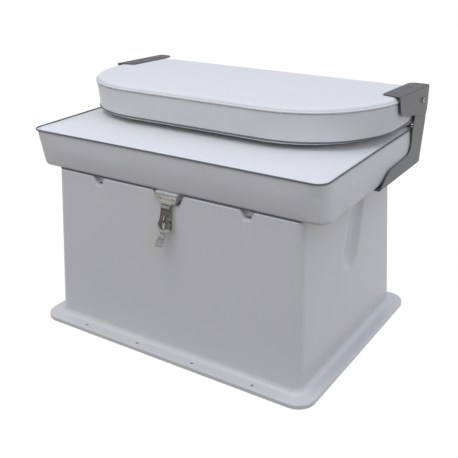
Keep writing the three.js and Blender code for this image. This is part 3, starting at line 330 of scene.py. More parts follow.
@dataclass(frozen=True)
class MarineVinyl:
    """Coated upholstery cloth: an embossed grain over the slow rise and fall of foam."""

    name: str
    clean: Colour
    shade: Colour
    pebbles: float = 720.0
    pebble_depth: float = 0.09 * MM
    pebble_tint: float = 0.25
    mottle: Grain = Grain(11.0, 5.0)
    mottle_levels: Stops = ((0.35, 0.0), (0.75, 1.0))
    mottle_tint: float = 0.7
    sag: Grain = Grain(8.0)
    sag_depth: float = 2.2 * MM
    drag: Grain = Grain(26.0, 3.0, (0.22, 1.0, 1.0))
    drag_share: float = 0.45
    creases: Grain = Grain(40.0, 5.0, (0.4, 1.0, 1.0))
    crease_levels: Stops = ((0.5, 0.0), (0.6, 0.6), (0.64, 1.0))
    crease_share: float = 0.1
    roughness: float = 0.42
    rougher: float = 0.1
    sheen: float = 0.05

    def material(self) -> bpy.types.Material:
        """Builds the node tree.

        Returns:
            The material.
        """
        recipe = Recipe(self.name)
        mottle = recipe.levels(recipe.noise(self.mottle), self.mottle_levels)
        pebble = recipe.cells(self.pebbles)
        creases = recipe.levels(recipe.noise(self.creases), self.crease_levels)
        sag = recipe.relief(recipe.noise(self.sag), self.sag_depth)
        pulled = recipe.relief(recipe.noise(self.drag), self.sag_depth * self.drag_share, sag)
        creased = recipe.relief(creases, self.sag_depth * self.crease_share, pulled)
        tint = mottle * self.mottle_tint + pebble * self.pebble_tint
        return recipe.surface({
            "Base Color": recipe.blend(tint, self.clean, self.shade),
            "Roughness": mottle * self.rougher + pebble * self.rougher + self.roughness,
            "Normal": recipe.relief(pebble, self.pebble_depth, creased),
            "Sheen Weight": self.sheen,
        })


@dataclass(frozen=True)
class PowderCoat:
    """Satin paint baked on folded sheet steel, a little brighter where it is rubbed."""

    paint: Colour = (0.105, 0.106, 0.111)
    rubbed: Colour = (0.185, 0.187, 0.194)
    rub: Grain = Grain(26.0, 6.0)
    rub_levels: Stops = ((0.5, 0.0), (0.72, 1.0))
    rub_tint: float = 0.55
    peel: Grain = Grain(900.0)
    peel_depth: float = 0.05 * MM
    peel_tint: float = 0.15
    roughness: float = 0.34
    rougher_by_peel: float = 0.12
    rougher_by_rub: float = 0.08
    metallic: float = 0.25

    def material(self) -> bpy.types.Material:
        """Builds the node tree.

        Returns:
            The material.
        """
        recipe = Recipe("grey_powder_coat")
        rub = recipe.levels(recipe.noise(self.rub), self.rub_levels)
        peel = recipe.noise(self.peel)
        return recipe.surface({
            "Base Color": recipe.blend(rub * self.rub_tint + peel * self.peel_tint, self.paint, self.rubbed),
            "Roughness": peel * self.rougher_by_peel + rub * self.rougher_by_rub + self.roughness,
            "Metallic": self.metallic,
            "Normal": recipe.relief(peel, self.peel_depth),
        })


@dataclass(frozen=True)
class PolishedSteel:
    """Polished stainless pressings: fine drawing lines, and long rougher streaks painted darker as
    reflections.
    """

    bright: Colour = (0.45, 0.435, 0.405)
    # painted dark reflection: the darker colour that the long streaks blend the steel towards
    painted_dark_reflection: Colour = (0.18, 0.172, 0.158)
    lines: Grain = Grain(2200.0, 2.0, (0.04, 1.0, 1.0))
    line_depth: float = 0.006 * MM
    roughness_and_reflection_streaks: Grain = Grain(110.0, 3.0, (0.07, 1.0, 1.0))
    band_levels: Stops = ((0.3, 0.0), (0.7, 1.0))
    roughness: float = 0.13
    rougher_by_bands: float = 0.07
    rougher_by_lines: float = 0.1

    def material(self) -> bpy.types.Material:
        """Builds the node tree.

        Returns:
            The material.
        """
        recipe = Recipe("polished_stainless")
        lines = recipe.noise(self.lines)
        roughness_and_reflection_streaks = recipe.levels(recipe.noise(self.roughness_and_reflection_streaks), self.band_levels)
        return recipe.surface({
            # painted reflection: the streaks darken the base colour to stand for dark reflections, and also
            # roughen it
            "Base Color": recipe.blend(roughness_and_reflection_streaks, self.bright, self.painted_dark_reflection),
            "Roughness": roughness_and_reflection_streaks * self.rougher_by_bands + lines * self.rougher_by_lines + self.roughness,
            "Metallic": 1.0,
            "Normal": recipe.relief(lines, self.line_depth),
        })


@dataclass(frozen=True)
class FoamRubber:
    """The grey foam strip that the lid closes on."""

    skin: Colour = (0.24, 0.24, 0.245)
    pore: Colour = (0.14, 0.14, 0.145)
    pores: float = 900.0
    pore_depth: float = 0.3 * MM
    roughness: float = 0.72
    rougher: float = 0.15

    def material(self) -> bpy.types.Material:
        """Builds the node tree.

        Returns:
            The material.
        """
        recipe = Recipe("grey_foam_rubber")
        pores = recipe.cells(self.pores)
        return recipe.surface({
            "Base Color": recipe.blend(pores, self.pore, self.skin),
            "Roughness": pores * self.rougher + self.roughness,
            "Normal": recipe.relief(pores, self.pore_depth),
        })


@dataclass(frozen=True)
class PaintedPly:
    """Plywood under white paint: the long grain still shows as a faint relief."""

    paint: Colour = (0.62, 0.62, 0.60)
    thin: Colour = (0.53, 0.52, 0.49)
    figure: Grain = Grain(30.0, 5.0, (0.12, 1.0, 1.0))
    figure_tint: float = 0.5
    growth: Grain = Grain(140.0, 3.0, (0.05, 1.0, 1.0))
    growth_levels: Stops = ((0.4, 0.0), (0.65, 1.0))
    growth_tint: float = 0.3
    growth_depth: float = 0.15 * MM
    roughness: float = 0.45
    rougher_by_growth: float = 0.12
    rougher_by_figure: float = 0.1

    def material(self) -> bpy.types.Material:
        """Builds the node tree.

        Returns:
            The material.
        """
        recipe = Recipe("painted_plywood")
        figure = recipe.noise(self.figure)
        growth = recipe.levels(recipe.noise(self.growth), self.growth_levels)
        tint = figure * self.figure_tint + growth * self.growth_tint
        return recipe.surface({
            "Base Color": recipe.blend(tint, self.paint, self.thin),
            "Roughness": growth * self.rougher_by_growth + figure * self.rougher_by_figure + self.roughness,
            "Normal": recipe.relief(growth, self.growth_depth),
        })


@dataclass(frozen=True)
class Nylon:
    """Natural nylon of the pivot washers, a little greyed by use."""

    fresh: Colour = (0.70, 0.69, 0.64)
    greyed: Colour = (0.48, 0.47, 0.44)
    use: Grain = Grain(180.0, 4.0)
    use_depth: float = 0.04 * MM
    roughness: float = 0.4
    rougher: float = 0.2

    def material(self) -> bpy.types.Material:
        """Builds the node tree.

        Returns:
            The material.
        """
        recipe = Recipe("natural_nylon")
        use = recipe.noise(self.use)
        return recipe.surface({
            "Base Color": recipe.blend(use, self.fresh, self.greyed),
            "Roughness": use * self.rougher + self.roughness,
            "Normal": recipe.relief(use, self.use_depth),
        })


WHITE_VINYL = MarineVinyl("white_vinyl", (0.74, 0.745, 0.755), (0.705, 0.71, 0.72))
GREY_PIPING = MarineVinyl(
    "grey_piping",
    (0.125, 0.14, 0.16),
    (0.09, 0.10, 0.115),
    pebbles=1500.0,
    pebble_depth=0.05 * MM,
    sag_depth=0.1 * MM,
    roughness=0.5,
)


class Finish(Enum):
    """The record's material slots."""

    GELCOAT = "gelcoat"
    VINYL = "vinyl"
    PIPING = "piping"
    BOARD = "board"
    SEAL = "seal"
    BRACKET = "bracket"
    STAINLESS = "stainless"
    NYLON = "nylon"


RECIPES = {
    Finish.GELCOAT: Gelcoat(),
    Finish.VINYL: WHITE_VINYL,
    Finish.PIPING: GREY_PIPING,
    Finish.BOARD: PaintedPly(),
    Finish.SEAL: FoamRubber(),
    Finish.BRACKET: PowderCoat(),
    Finish.STAINLESS: PolishedSteel(),
    Finish.NYLON: Nylon(),
}


class FittingShop:
    """Finishes pieces, puts them on the part's bodies and reports each one."""

    def __init__(self) -> None:
        """Builds every material once."""
        self.materials = {finish: recipe.material() for finish, recipe in RECIPES.items()}

    def fit(self, piece: bpy.types.Object, body: Body, finish: Finish, *nodes: str) -> bpy.types.Object:
        """Finishes a new piece and lets it ride on a body.

        Args:
            piece: The piece, in place.
            body: The body that it moves with.
            finish: Its material.
            nodes: The frame's nodes that it stands for.

        Returns:
            The piece.
        """
        piece.data.materials.clear()
        piece.data.materials.append(self.materials[finish])
        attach(piece, body.value)
        if nodes:
            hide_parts(*nodes)
        log.info("%s: %d faces on %s in %s", piece.name, len(piece.data.polygons), body.value, finish.value)
        return piece

    def keep(self, finish: Finish, *nodes: str) -> None:
        """Shows nodes of the frame as they are, in a better material.

        Args:
            finish: The material.
            nodes: The nodes.
        """
        for name in nodes:
            node = frame["nodes"][name]
            node.data.materials.clear()
            node.data.materials.append(self.materials[finish])
            log.info("%s: kept in %s", name, finish.value)


@dataclass(frozen=True)
class Corner:
    """A rounded corner of a level outline: its reach both ways, and 2 for round or more for fuller."""

    across: float
    along: float
    fullness: float = 2.0

    def points(self, x: float, y: float, quarter: int, steps: int) -> np.ndarray:
        """Points round the corner.

        Args:
            x: The middle that the corner turns about.
            y: The same along Y.
            quarter: 0 for the right rear corner, then anticlockwise.
            steps: Spans between the points.

        Returns:
            An array of x and y.
        """
        angle = (quarter + np.linspace(0.0, 1.0, steps + 1)) * math.pi / 2
        power = 2.0 / self.fullness
        reach = [np.sign(turn) * np.abs(turn) ** power for turn in (np.cos(angle), np.sin(angle))]
        return np.stack([x + self.across * reach[0], y + self.along * reach[1]], axis=1)


def round_corner(radius: float) -> Corner:
    """A corner of one radius."""
    return Corner(radius, radius)


@dataclass(frozen=True)
class Stations:
    """How many spans an outline has in its corners, and where its points lie along its straight sides."""

    front_corner: int
    rear_corner: int
    rear: tuple[float, ...]
    left: tuple[float, ...]
    front: tuple[float, ...]
    right: tuple[float, ...]


def even_shares(spans: int) -> tuple[float, ...]:
    """Shares of a length that cut it into equal spans."""
    return tuple(step / spans for step in range(1, spans))


def even_stations(corner: int, rear_corner: int, rear: int, side: int, front: int) -> Stations:
    """Stations with equal spans along each side."""
    at_side = even_shares(side)
    return Stations(corner, rear_corner, even_shares(rear), at_side, even_shares(front), at_side)


@dataclass(frozen=True)
class Outline:
    """A level outline of a box-like form, symmetric left and right."""

    half_width: float
    front: float
    rear: float
    corner: Corner
    rear_corner: Corner
    least_corner: float = 2.0 * MM

    def ring(self, z: float, stations: Stations, draw: float = 0.0) -> np.ndarray:
        """Points round the outline, anticlockwise from the right rear corner.

        Args:
            z: The height.
            stations: How the points are spread.
            draw: How far the straight sides are drawn in at their middles.

        Returns:
            An array of points.
        """
        near, far = self.corner, self.rear_corner
        turns = [
            far.points(self.half_width - far.across, self.rear - far.along, 0, stations.rear_corner),
            far.points(far.across - self.half_width, self.rear - far.along, 1, stations.rear_corner),
            near.points(near.across - self.half_width, near.along - self.front, 2, stations.front_corner),
            near.points(self.half_width - near.across, near.along - self.front, 3, stations.front_corner),
        ]
        sides = (stations.rear, stations.left, stations.front, stations.right)
        ring: list[np.ndarray] = []
        for index, (turn, shares) in enumerate(zip(turns, sides)):
            start, end = turn[-1], turns[(index + 1) % len(turns)][0]
            share = np.array(shares)[:, None]
            run = end - start
            inward = np.array([-run[1], run[0]]) / max(np.linalg.norm(run), TINY)
            ring += [turn, start + share * run + inward * draw * np.sin(math.pi * share)]
        flat = np.concatenate(ring)
        return np.column_stack([flat, np.full(len(flat), z)])

    def inset(self, side: float, front: float | None = None, rear: float | None = None) -> Outline:
        """The outline drawn in.

        Args:
            side: How far each side comes in.
            front: How far the front comes in, if not as far as the sides.
            rear: How far the rear comes in, if not as far as the sides.

        Returns:
            The smaller outline.
        """
        at_front = side if front is None else front
        at_rear = side if rear is None else rear
        corner = Corner(
            max(self.corner.across - side, self.least_corner),
            max(self.corner.along - at_front, self.least_corner),
            self.corner.fullness,
        )
        return replace(
            self,
            half_width=self.half_width - side,
            front=self.front - at_front,
            rear=self.rear - at_rear,
            corner=corner,
            rear_corner=round_corner(max(self.rear_corner.across - side, self.least_corner)),
        )


class Ends(Enum):
    """What happens at the two ends of a stack of rings."""

    CAPPED = "capped"
    JOINED = "joined"


def skin(name: str, rings: Sequence[np.ndarray], ends: Ends) -> bpy.types.Object:
    """A mesh of four-sided faces through rings of points.

    Args:
        name: The piece's name.
        rings: The rings, each with the same number of points.
        ends: Whether the end rings are capped or joined to each other.

    Returns:
        The piece.
    """
    count = len(rings[0])
    faces: list[tuple[int, ...]] = []
    spans = len(rings) if ends is Ends.JOINED else len(rings) - 1
    for row in range(spans):
        base, above = row * count, (row + 1) % len(rings) * count
        for step in range(count):
            ahead = (step + 1) % count
            faces.append((base + step, base + ahead, above + ahead, above + step))
    if ends is Ends.CAPPED:
        last = (len(rings) - 1) * count
        faces += [tuple(reversed(range(count))), tuple(range(last, last + count))]
    return mesh_piece(name, np.concatenate(rings), faces)


def mesh_piece(name: str, points: np.ndarray, faces: Sequence[Sequence[int]]) -> bpy.types.Object:
    """A closed mesh in the scene, its faces turned outward and shaded smooth.

    Args:
        name: The piece's name.
        points: Its points.
        faces: The points of each face.

    Returns:
        The piece.
    """
    mesh = bpy.data.meshes.new(name)
    mesh.from_pydata(points.tolist(), [], faces)
    form = bmesh.new()
    form.from_mesh(mesh)
    bmesh.ops.recalc_face_normals(form, faces=form.faces)
    form.to_mesh(mesh)
    form.free()
    piece = bpy.data.objects.new(name, mesh)
    bpy.context.scene.collection.objects.link(piece)
    return smooth(piece)


def smooth(piece: bpy.types.Object, degrees: float = 40.0) -> bpy.types.Object:
    """Shades a piece smooth except at its edges.

    Args:
        piece: The piece.
        degrees: Faces that meet at more than this show an edge.

    Returns:
        The piece.
    """
    piece.data.shade_smooth()
    piece.data.set_sharp_from_angle(angle=math.radians(degrees))
    return piece


def settle(piece: bpy.types.Object) -> bpy.types.Object:
    """Makes what a piece's modifiers show its own mesh.

    Args:
        piece: The piece.

    Returns:
        The piece, without modifiers.
    """
    shown = piece.evaluated_get(bpy.context.evaluated_depsgraph_get())
    mesh = bpy.data.meshes.new_from_object(shown)
    old = piece.data
    piece.modifiers.clear()
    piece.data = mesh
    bpy.data.meshes.remove(old)
    mesh.name = piece.name
    return piece


def carve(piece: bpy.types.Object, cutters: Sequence[bpy.types.Object]) -> bpy.types.Object:
    """Cuts other forms out of a piece, and clears them away.

    Args:
        piece: The piece.
        cutters: The closed forms that are cut out.

    Returns:
        The piece.
    """
    for cutter in cutters:
        cut = piece.modifiers.new("cut", "BOOLEAN")
        cut.operation = "DIFFERENCE"
        cut.solver = "EXACT"
        cut.object = cutter
    bpy.context.view_layer.update()
    settle(piece)
    for cutter in cutters:
        bpy.data.objects.remove(cutter)
    return smooth(piece)


def points_of(mesh: bpy.types.Mesh) -> np.ndarray:
    """A mesh's points.

    Args:
        mesh: The mesh.

    Returns:
        An array of points.
    """
    flat = np.zeros(len(mesh.vertices) * 3)
    mesh.vertices.foreach_get("co", flat)
    return flat.reshape(-1, 3)


def move_points(piece: bpy.types.Object, points: np.ndarray) -> None:
    """Gives a piece new places for its points."""
    piece.data.vertices.foreach_set("co", points.ravel())
    piece.data.update()


def even_weights(piece: bpy.types.Object) -> bpy.types.Object:
    """Keeps a piece's large faces flat-looking beside its eased edges.

    Args:
        piece: The piece.

    Returns:
        The piece.
    """
    weighting = piece.modifiers.new("even_weights", "WEIGHTED_NORMAL")
    weighting.keep_sharp = True
    return piece


def eased_copy(node: str, easing: float) -> bpy.types.Object:
    """A copy of a node with its small facets merged and its sharp edges rounded.

    Args:
        node: The frame's node.
        easing: The rounding's radius.

    Returns:
        The copy.
    """
    merge_turn, sharp_turn = math.radians(0.5), math.radians(38.0)
    weld = 0.002 * MM
    mesh = frame["nodes"][node].data.copy()
    form = bmesh.new()
    form.from_mesh(mesh)
    bmesh.ops.remove_doubles(form, verts=form.verts, dist=weld)
    bmesh.ops.dissolve_limit(form, angle_limit=merge_turn, verts=form.verts, edges=form.edges)
    sharp = [edge for edge in form.edges if edge.is_manifold and edge.calc_face_angle(0.0) > sharp_turn]
    bmesh.ops.bevel(
        form, geom=sharp, offset=easing, segments=2, profile=0.5, affect="EDGES", clamp_overlap=True
    )
    form.to_mesh(mesh)
    form.free()
    piece = bpy.data.objects.new(f"{node}_finished", mesh)
    bpy.context.scene.collection.objects.link(piece)
    mesh.name = piece.name
    return even_weights(smooth(piece))


def turned(name: str, profile: Sequence[tuple[float, float]], sides: int) -> bpy.types.Object:
    """A form turned about +Z and closed at both ends.

    Args:
        name: The piece's name.
        profile: Pairs of a radius and a height.
        sides: Points round it.

    Returns:
        The piece.
    """
    angle = np.arange(sides) * 2.0 * math.pi / sides
    around = np.stack([np.cos(angle), np.sin(angle)], axis=1)
    rings = [np.column_stack([around * radius, np.full(sides, height)]) for radius, height in profile]
    return skin(name, rings, Ends.CAPPED)


def mesh_alone(piece: bpy.types.Object) -> bpy.types.Mesh:
    """Takes a piece out of the scene.

    Args:
        piece: The piece.

    Returns:
        Its mesh.
    """
    mesh = piece.data
    bpy.data.objects.remove(piece)
    return mesh


def stand_on(piece: bpy.types.Object, at: Vector, outward: Vector) -> None:
    """Puts a piece drawn about +Z at a place, with its +Z along a direction."""
    piece.matrix_world = Matrix.Translation(at) @ outward.to_track_quat("Z", "Y").to_matrix().to_4x4()


def tube(name: str, path: np.ndarray, radius: float, sides: int = 12) -> bpy.types.Object:
    """A round cord along a closed path.

    Args:
        name: The piece's name.
        path: The path's points.
        radius: The cord's radius.
        sides: Points round it.

    Returns:
        The piece.
    """
    ahead, behind = np.roll(path, -1, axis=0), np.roll(path, 1, axis=0)
    along = ahead - behind
    along /= np.linalg.norm(along, axis=1)[:, None]
    upward = np.array([0.0, 0.0, 1.0])
    outward = np.cross(along, upward)
    outward /= np.linalg.norm(outward, axis=1)[:, None]
    rise = np.cross(outward, along)
    angle = np.arange(sides) * 2.0 * math.pi / sides
    rings = [
        centre + radius * (np.cos(angle)[:, None] * out + np.sin(angle)[:, None] * up)
        for centre, out, up in zip(path, outward, rise)
    ]
    return skin(name, rings, Ends.JOINED)


def spaced(path: np.ndarray, gap: float = SEAM_STEP) -> np.ndarray:
    """A closed path's points again, an even distance apart.

    Args:
        path: The path's points.
        gap: The distance.

    Returns:
        The new points.
    """
    closed = np.vstack([path, path[:1]])
    reach = np.concatenate([[0.0], np.cumsum(np.linalg.norm(np.diff(closed, axis=0), axis=1))])
    wanted = np.linspace(0.0, reach[-1], int(reach[-1] / gap), endpoint=False)
    return np.stack([np.interp(wanted, reach, closed[:, axis]) for axis in range(3)], axis=1)


def nearest(points: np.ndarray, path: np.ndarray) -> tuple[np.ndarray, np.ndarray]:
    """Finds each point's nearest point of a path.

    Args:
        points: The points.
        path: The path's points.

    Returns:
        The nearest points, and how far they are.
    """
    tree = KDTree(len(path))
    for index, point in enumerate(path):
        tree.insert(point, index)
    tree.balance()
    found = [tree.find(point) for point in points]
    return np.array([place for place, _, _ in found]), np.array([distance for _, _, distance in found])


@dataclass(frozen=True)
class Seam:
    """A sewn line's hold on its cover: how far it grips, how far it draws the cloth, and how strongly."""

    grip: float
    reach: float
    pull: float

    def held(self, distance: np.ndarray) -> np.ndarray:
        """How fast points at some distances from the seam are held, from 0 to 1."""
        return np.clip(SEAM_HOLD - distance / self.grip, 0.0, 1.0)

    def draw(self, piece: bpy.types.Object, path: np.ndarray) -> None:
        """Pulls the cover in to the sewn line.

        Args:
            piece: The upholstered piece.
            path: The line, with its points close together.
        """
        points = points_of(piece.data)
        target, distance = nearest(points, path)
        pull = np.clip(1.0 - distance / self.reach, 0.0, 1.0)[:, None] ** 2 * self.pull
        move_points(piece, points + (target - points) * pull)


@dataclass(frozen=True)
class Stuffing:
    """How a cover is filled: an even mesh, air pressure on cloth, and a limit on how far it swells."""

    voxel: float = 6.0 * MM
    pressure: float = 4.0
    swell: float = 4.0 * MM
    frames: int = 20
    quality: int = 4
    mass: float = 0.25
    stretch_stiffness: float = 25.0
    bend_stiffness: float = 2.0

    def fill(self, piece: bpy.types.Object, held: Callable[[np.ndarray], np.ndarray]) -> None:
        """Swells a cover by cloth simulation and leaves the result in its mesh.

        Args:
            piece: The sewn form, a little smaller than the stuffed one.
            held: Tells from the points which of them the seams and the board hold, as shares from 0 to 1.
        """
        even = piece.modifiers.new("even_mesh", "REMESH")
        even.mode = "VOXEL"
        even.voxel_size = self.voxel
        settle(piece)
        start = points_of(piece.data)
        grip = held(start)
        swollen = self._simulated(piece, grip)
        travel = swollen - start
        length = np.linalg.norm(travel, axis=1)[:, None]
        travel *= np.minimum(1.0, self.swell / np.maximum(length, TINY))
        move_points(piece, start + travel)
        finer = piece.modifiers.new("finer", "SUBSURF")
        finer.levels = finer.render_levels = 1
        settle(piece)
        smooth(piece, degrees=180.0)

    def _simulated(self, piece: bpy.types.Object, grip: np.ndarray) -> np.ndarray:
        """Runs the cloth.

        Args:
            piece: The cover.
            grip: How fast each point is held, from 0 to 1.

        Returns:
            Where the points end.
        """
        levels = np.round(grip, 1)
        group = piece.vertex_groups.new(name="held")
        for level in np.unique(levels):
            group.add(np.flatnonzero(levels == level).tolist(), float(level), "REPLACE")
        cloth = piece.modifiers.new("stuffing", "CLOTH")
        cloth.settings.quality = self.quality
        cloth.settings.mass = self.mass
        cloth.settings.tension_stiffness = cloth.settings.compression_stiffness = self.stretch_stiffness
        cloth.settings.bending_stiffness = self.bend_stiffness
        cloth.settings.use_pressure = True
        cloth.settings.uniform_pressure_force = self.pressure
        cloth.settings.vertex_group_mass = group.name
        cloth.settings.effector_weights.gravity = 0.0
        cloth.point_cache.frame_start = 1
        cloth.point_cache.frame_end = self.frames
        scene = bpy.context.scene
        for step in range(1, self.frames + 1):
            scene.frame_set(step)
        shown = piece.evaluated_get(bpy.context.evaluated_depsgraph_get())
        points = points_of(shown.to_mesh())
        shown.to_mesh_clear()
        piece.modifiers.clear()
        piece.vertex_groups.clear()
        scene.frame_set(1)
        return points


def quarter_round(radius: float, spans: int) -> list[tuple[float, float]]:
    """Steps of a quarter round: how far it has turned in from its start, and how far up."""
    angles = [math.pi / 2 * step / spans for step in range(spans + 1)]
    return [(radius * (1.0 - math.cos(angle)), radius * math.sin(angle)) for angle in angles]


def between(value: np.ndarray, run: tuple[float, float]) -> np.ndarray:
    """How far values have come along a run, from 0 before it to 1 past it."""
    return np.clip((value - run[0]) / (run[1] - run[0]), 0.0, 1.0)


@dataclass(frozen=True)
class Notch:
    """A dip in the front rim, with sloping ends."""

    middle: float
    half_top: float
    half_foot: float
    depth: float
    rounding: float
    samples: int = 9

    def drop(self, x: np.ndarray, flare: float) -> np.ndarray:
        """How far the rim dips.

        Args:
            x: Places along the rim.
            flare: How far the lip has flared outward.

        Returns:
            The dip at each place.
        """
        top, foot = self.half_top + flare, self.half_foot + flare
        shifts = np.linspace(-self.rounding, self.rounding, self.samples)
        reaches = [np.abs(x + shift - self.middle) for shift in shifts]
        shares = [np.clip((top - reach) / (top - foot), 0.0, 1.0) for reach in reaches]
        return np.mean(shares, axis=0) * (self.depth + flare)


@dataclass(frozen=True)
class HandFlute:
    """A leaning round-ended channel down each side wall, which deepens with the wall's draft."""

    radius: float = 66 * MM
    depth: float = 12 * MM
    floor: float = 220 * MM
    behind: float = 4 * MM
    lean: float = math.radians(20)
    softness: float = 2.5 * MM

    def reach(self, points: np.ndarray, wall_at: Callable[[float], float], grow: float) -> np.ndarray:
        """The half width that the channel leaves at each point of a side wall.

        Args:
            points: Points of the wall.
            wall_at: The wall's half width at a height.
            grow: What is added to the channel's radius, for the wall's inner face.

        Returns:
            The half widths.
        """
        chord = math.sqrt(self.radius**2 - (self.radius - self.depth) ** 2)
        foot = self.floor + chord
        axis_x = wall_at(foot) - self.depth + self.radius
        behind, rise = points[:, 1] - self.behind, points[:, 2] - foot
        across = behind * math.cos(self.lean) - rise * math.sin(self.lean)
        along = np.minimum(behind * math.sin(self.lean) + rise * math.cos(self.lean), 0.0)
        inside = (self.radius + grow) ** 2 - across**2 - along**2
        return np.where(inside > 0.0, axis_x - np.sqrt(np.maximum(inside, 0.0)), axis_x)


def lesser(first: np.ndarray, second: np.ndarray, softness: float) -> np.ndarray:
    """The lesser of two values, with a soft change from one to the other."""
    return 0.5 * (first + second - np.sqrt((first - second) ** 2 + softness**2))


@dataclass
class LockerMoulding:
    """The box: a drafted tub on a wide foot flange, with a rolled rim, rim notches and hand flutes."""

    flange_half: tuple[float, float] = (400 * MM, 300 * MM)
    flange_thickness: float = 12 * MM
    flange_corner: float = 45 * MM
    flange_easing: float = 3 * MM
    foot_easing: float = 0.6 * MM
    foot_half: tuple[float, float] = (364 * MM, 262.5 * MM)
    rim_half: tuple[float, float] = (346 * MM, 238 * MM)
    height: float = 414 * MM
    corner: float = 20 * MM
    fillet: float = 14 * MM
    wall: float = 5 * MM
    rim_land: float = 12 * MM
    land_height: float = 28 * MM
    haunch: float = 10 * MM
    rim_easing: float = 3 * MM
    inner_corner: float = 8 * MM
    lip: float = 6 * MM
    lip_rate: float = 2.0
    notch_reach: float = 72 * MM
    hole_radius: float = 4 * MM
    hole_sink: float = 1.2 * MM
    hole_sides: int = 24
    hole_reach: tuple[float, ...] = (-253.5 * MM, -84.5 * MM, 84.5 * MM, 253.5 * MM)
    hole_behind: float = 283 * MM
    flute: HandFlute = HandFlute()
    notches: tuple[Notch, ...] = (
        Notch(-212 * MM, 17 * MM, 8 * MM, 19 * MM, 3 * MM),
        Notch(212 * MM, 17 * MM, 8 * MM, 19 * MM, 3 * MM),
        Notch(0.0, 44 * MM, 28 * MM, 27 * MM, 4 * MM),
    )
    fine_step: float = 1.6 * MM
    coarse_step: float = 8 * MM
    corner_spans: int = 9
    rear_spans: int = 60
    side_spans: int = 88
    flange_spans: int = 5
    fillet_spans: int = 9
    rim_spans: int = 6
    land_spans: int = 4
    outer_rows: int = 76
    inner_rows: int = 36

    def half_at(self, z: float, axis: int) -> float:
        """The outer wall's half width or half depth at a height."""
        share = (z - self.flange_thickness) / (self.height - self.flange_thickness)
        return self.foot_half[axis] + (self.rim_half[axis] - self.foot_half[axis]) * share

    def half_width(self, z: float) -> float:
        """The outer wall's half width at a height."""
        return self.half_at(z, 0)

    def stations(self) -> Stations:
        """Even points, with more of them where the rim dips.

        Returns:
            The stations of every ring.
        """
        span = 2 * (self.rim_half[0] - self.corner)
        fine, coarse = self.fine_step, self.coarse_step
        front = list(np.arange(-span / 2 + coarse, span / 2 - coarse / 2, coarse))
        for notch in self.notches:
            reach = notch.half_top + self.lip + 2 * notch.rounding
            front = [x for x in front if abs(x - notch.middle) > reach]
            front += list(np.arange(notch.middle - reach, notch.middle + reach + fine / 2, fine))
        shares = tuple(sorted((x + span / 2) / span for x in front))
        rear, side = even_shares(self.rear_spans), even_shares(self.side_spans)
        return Stations(self.corner_spans, self.corner_spans, rear, side, shares, side)

    def flange_ring(self, z: float, inset: float) -> np.ndarray:
        """A ring of the foot flange.

        Args:
            z: Its height.
            inset: How far it lies inside the flange's edge.

        Returns:
            The ring.
        """
        half_width, half_depth = self.flange_half
        corner = round_corner(self.flange_corner)
        outline = Outline(half_width, half_depth, half_depth, corner, corner)
        return outline.inset(inset).ring(z, self.stations())

    def wall_ring(self, z: float, inset: float, radius: float, turn: float = 0.0) -> np.ndarray:
        """A ring of the tub's wall, with the flutes pressed in and the rim's dips let down.

        Args:
            z: The height away from the dips.
            inset: How far the ring lies inside the outer wall.
            radius: The corner's radius.
            turn: How far round its rolled edge the rim is here, from 0 at the wall to 1 on top.

        Returns:
            The ring.
        """
        close = 1e-6
        corner = round_corner(radius)
        half_width, half_depth = (self.half_at(z, axis) - inset for axis in (0, 1))
        ring = Outline(half_width, half_depth, half_depth, corner, corner).ring(z, self.stations())
        on_side = np.abs(np.abs(ring[:, 0]) - half_width) < close
        grow = self.wall if inset >= self.wall else 0.0
        edge = inset if inset < self.wall else 0.0
        pressed = self.flute.reach(ring, self.half_width, grow) - edge
        flat = np.full(len(ring), half_width)
        kept = lesser(flat, pressed, self.flute.softness)
        ring[:, 0] = np.where(on_side, np.sign(ring[:, 0]) * np.minimum(kept, flat), ring[:, 0])
        on_front = np.abs(ring[:, 1] + half_depth) < close
        let_down = np.clip((z - self.height + self.notch_reach) / self.notch_reach, 0.0, 1.0)
        flare = self.lip * (1.0 - math.sin(turn * math.pi / 2))
        drop = np.max([notch.drop(ring[:, 0], flare) for notch in self.notches], axis=0)
        full = np.max([notch.depth for notch in self.notches])
        lipped = np.minimum(drop / full * self.lip_rate, 1.0)
        rolled = lipped * (self.lip - self.rim_easing) * (1.0 - math.cos(turn * math.pi / 2))
        ring[:, 1] += np.where(on_front, rolled, 0.0)
        ring[:, 2] -= np.where(on_front, drop * let_down, 0.0)
        return ring

    def rings(self) -> list[np.ndarray]:
        """The shell's rings, from its foot up the outside, over the rim and down the inside.

        Returns:
            The rings.
        """
        top, easing = self.flange_thickness, self.flange_easing
        rings = [self.flange_ring(0.0, self.foot_easing), self.flange_ring(self.foot_easing, 0.0)]
        for across, up in quarter_round(easing, self.flange_spans):
            rings.append(self.flange_ring(top - easing + up, across))
        for across, up in quarter_round(self.fillet, self.fillet_spans):
            outside = self.fillet - up
            rings.append(self.wall_ring(top + across, -outside, self.corner + outside))
        first, last = top + self.fillet, self.height - self.rim_easing
        for z in np.linspace(first, last, self.outer_rows)[1:-1]:
            rings.append(self.wall_ring(float(z), 0.0, self.corner))
        for step, (across, up) in enumerate(quarter_round(self.rim_easing, self.rim_spans)):
            rings.append(self.wall_ring(last + up, across, self.corner - across, step / self.rim_spans))
        for across, up in reversed(quarter_round(self.rim_easing, self.land_spans)):
            inset = self.rim_land - across
            rings.append(self.wall_ring(last + up, inset, self.inner_corner + across, 1.0))
        land_foot = self.height - self.land_height
        rings.append(self.wall_ring(land_foot, self.rim_land, self.inner_corner, 1.0))
        for z in np.linspace(land_foot - self.haunch, 0.0, self.inner_rows):
            rings.append(self.wall_ring(float(z), self.wall, self.corner - self.wall, 1.0))
        return rings

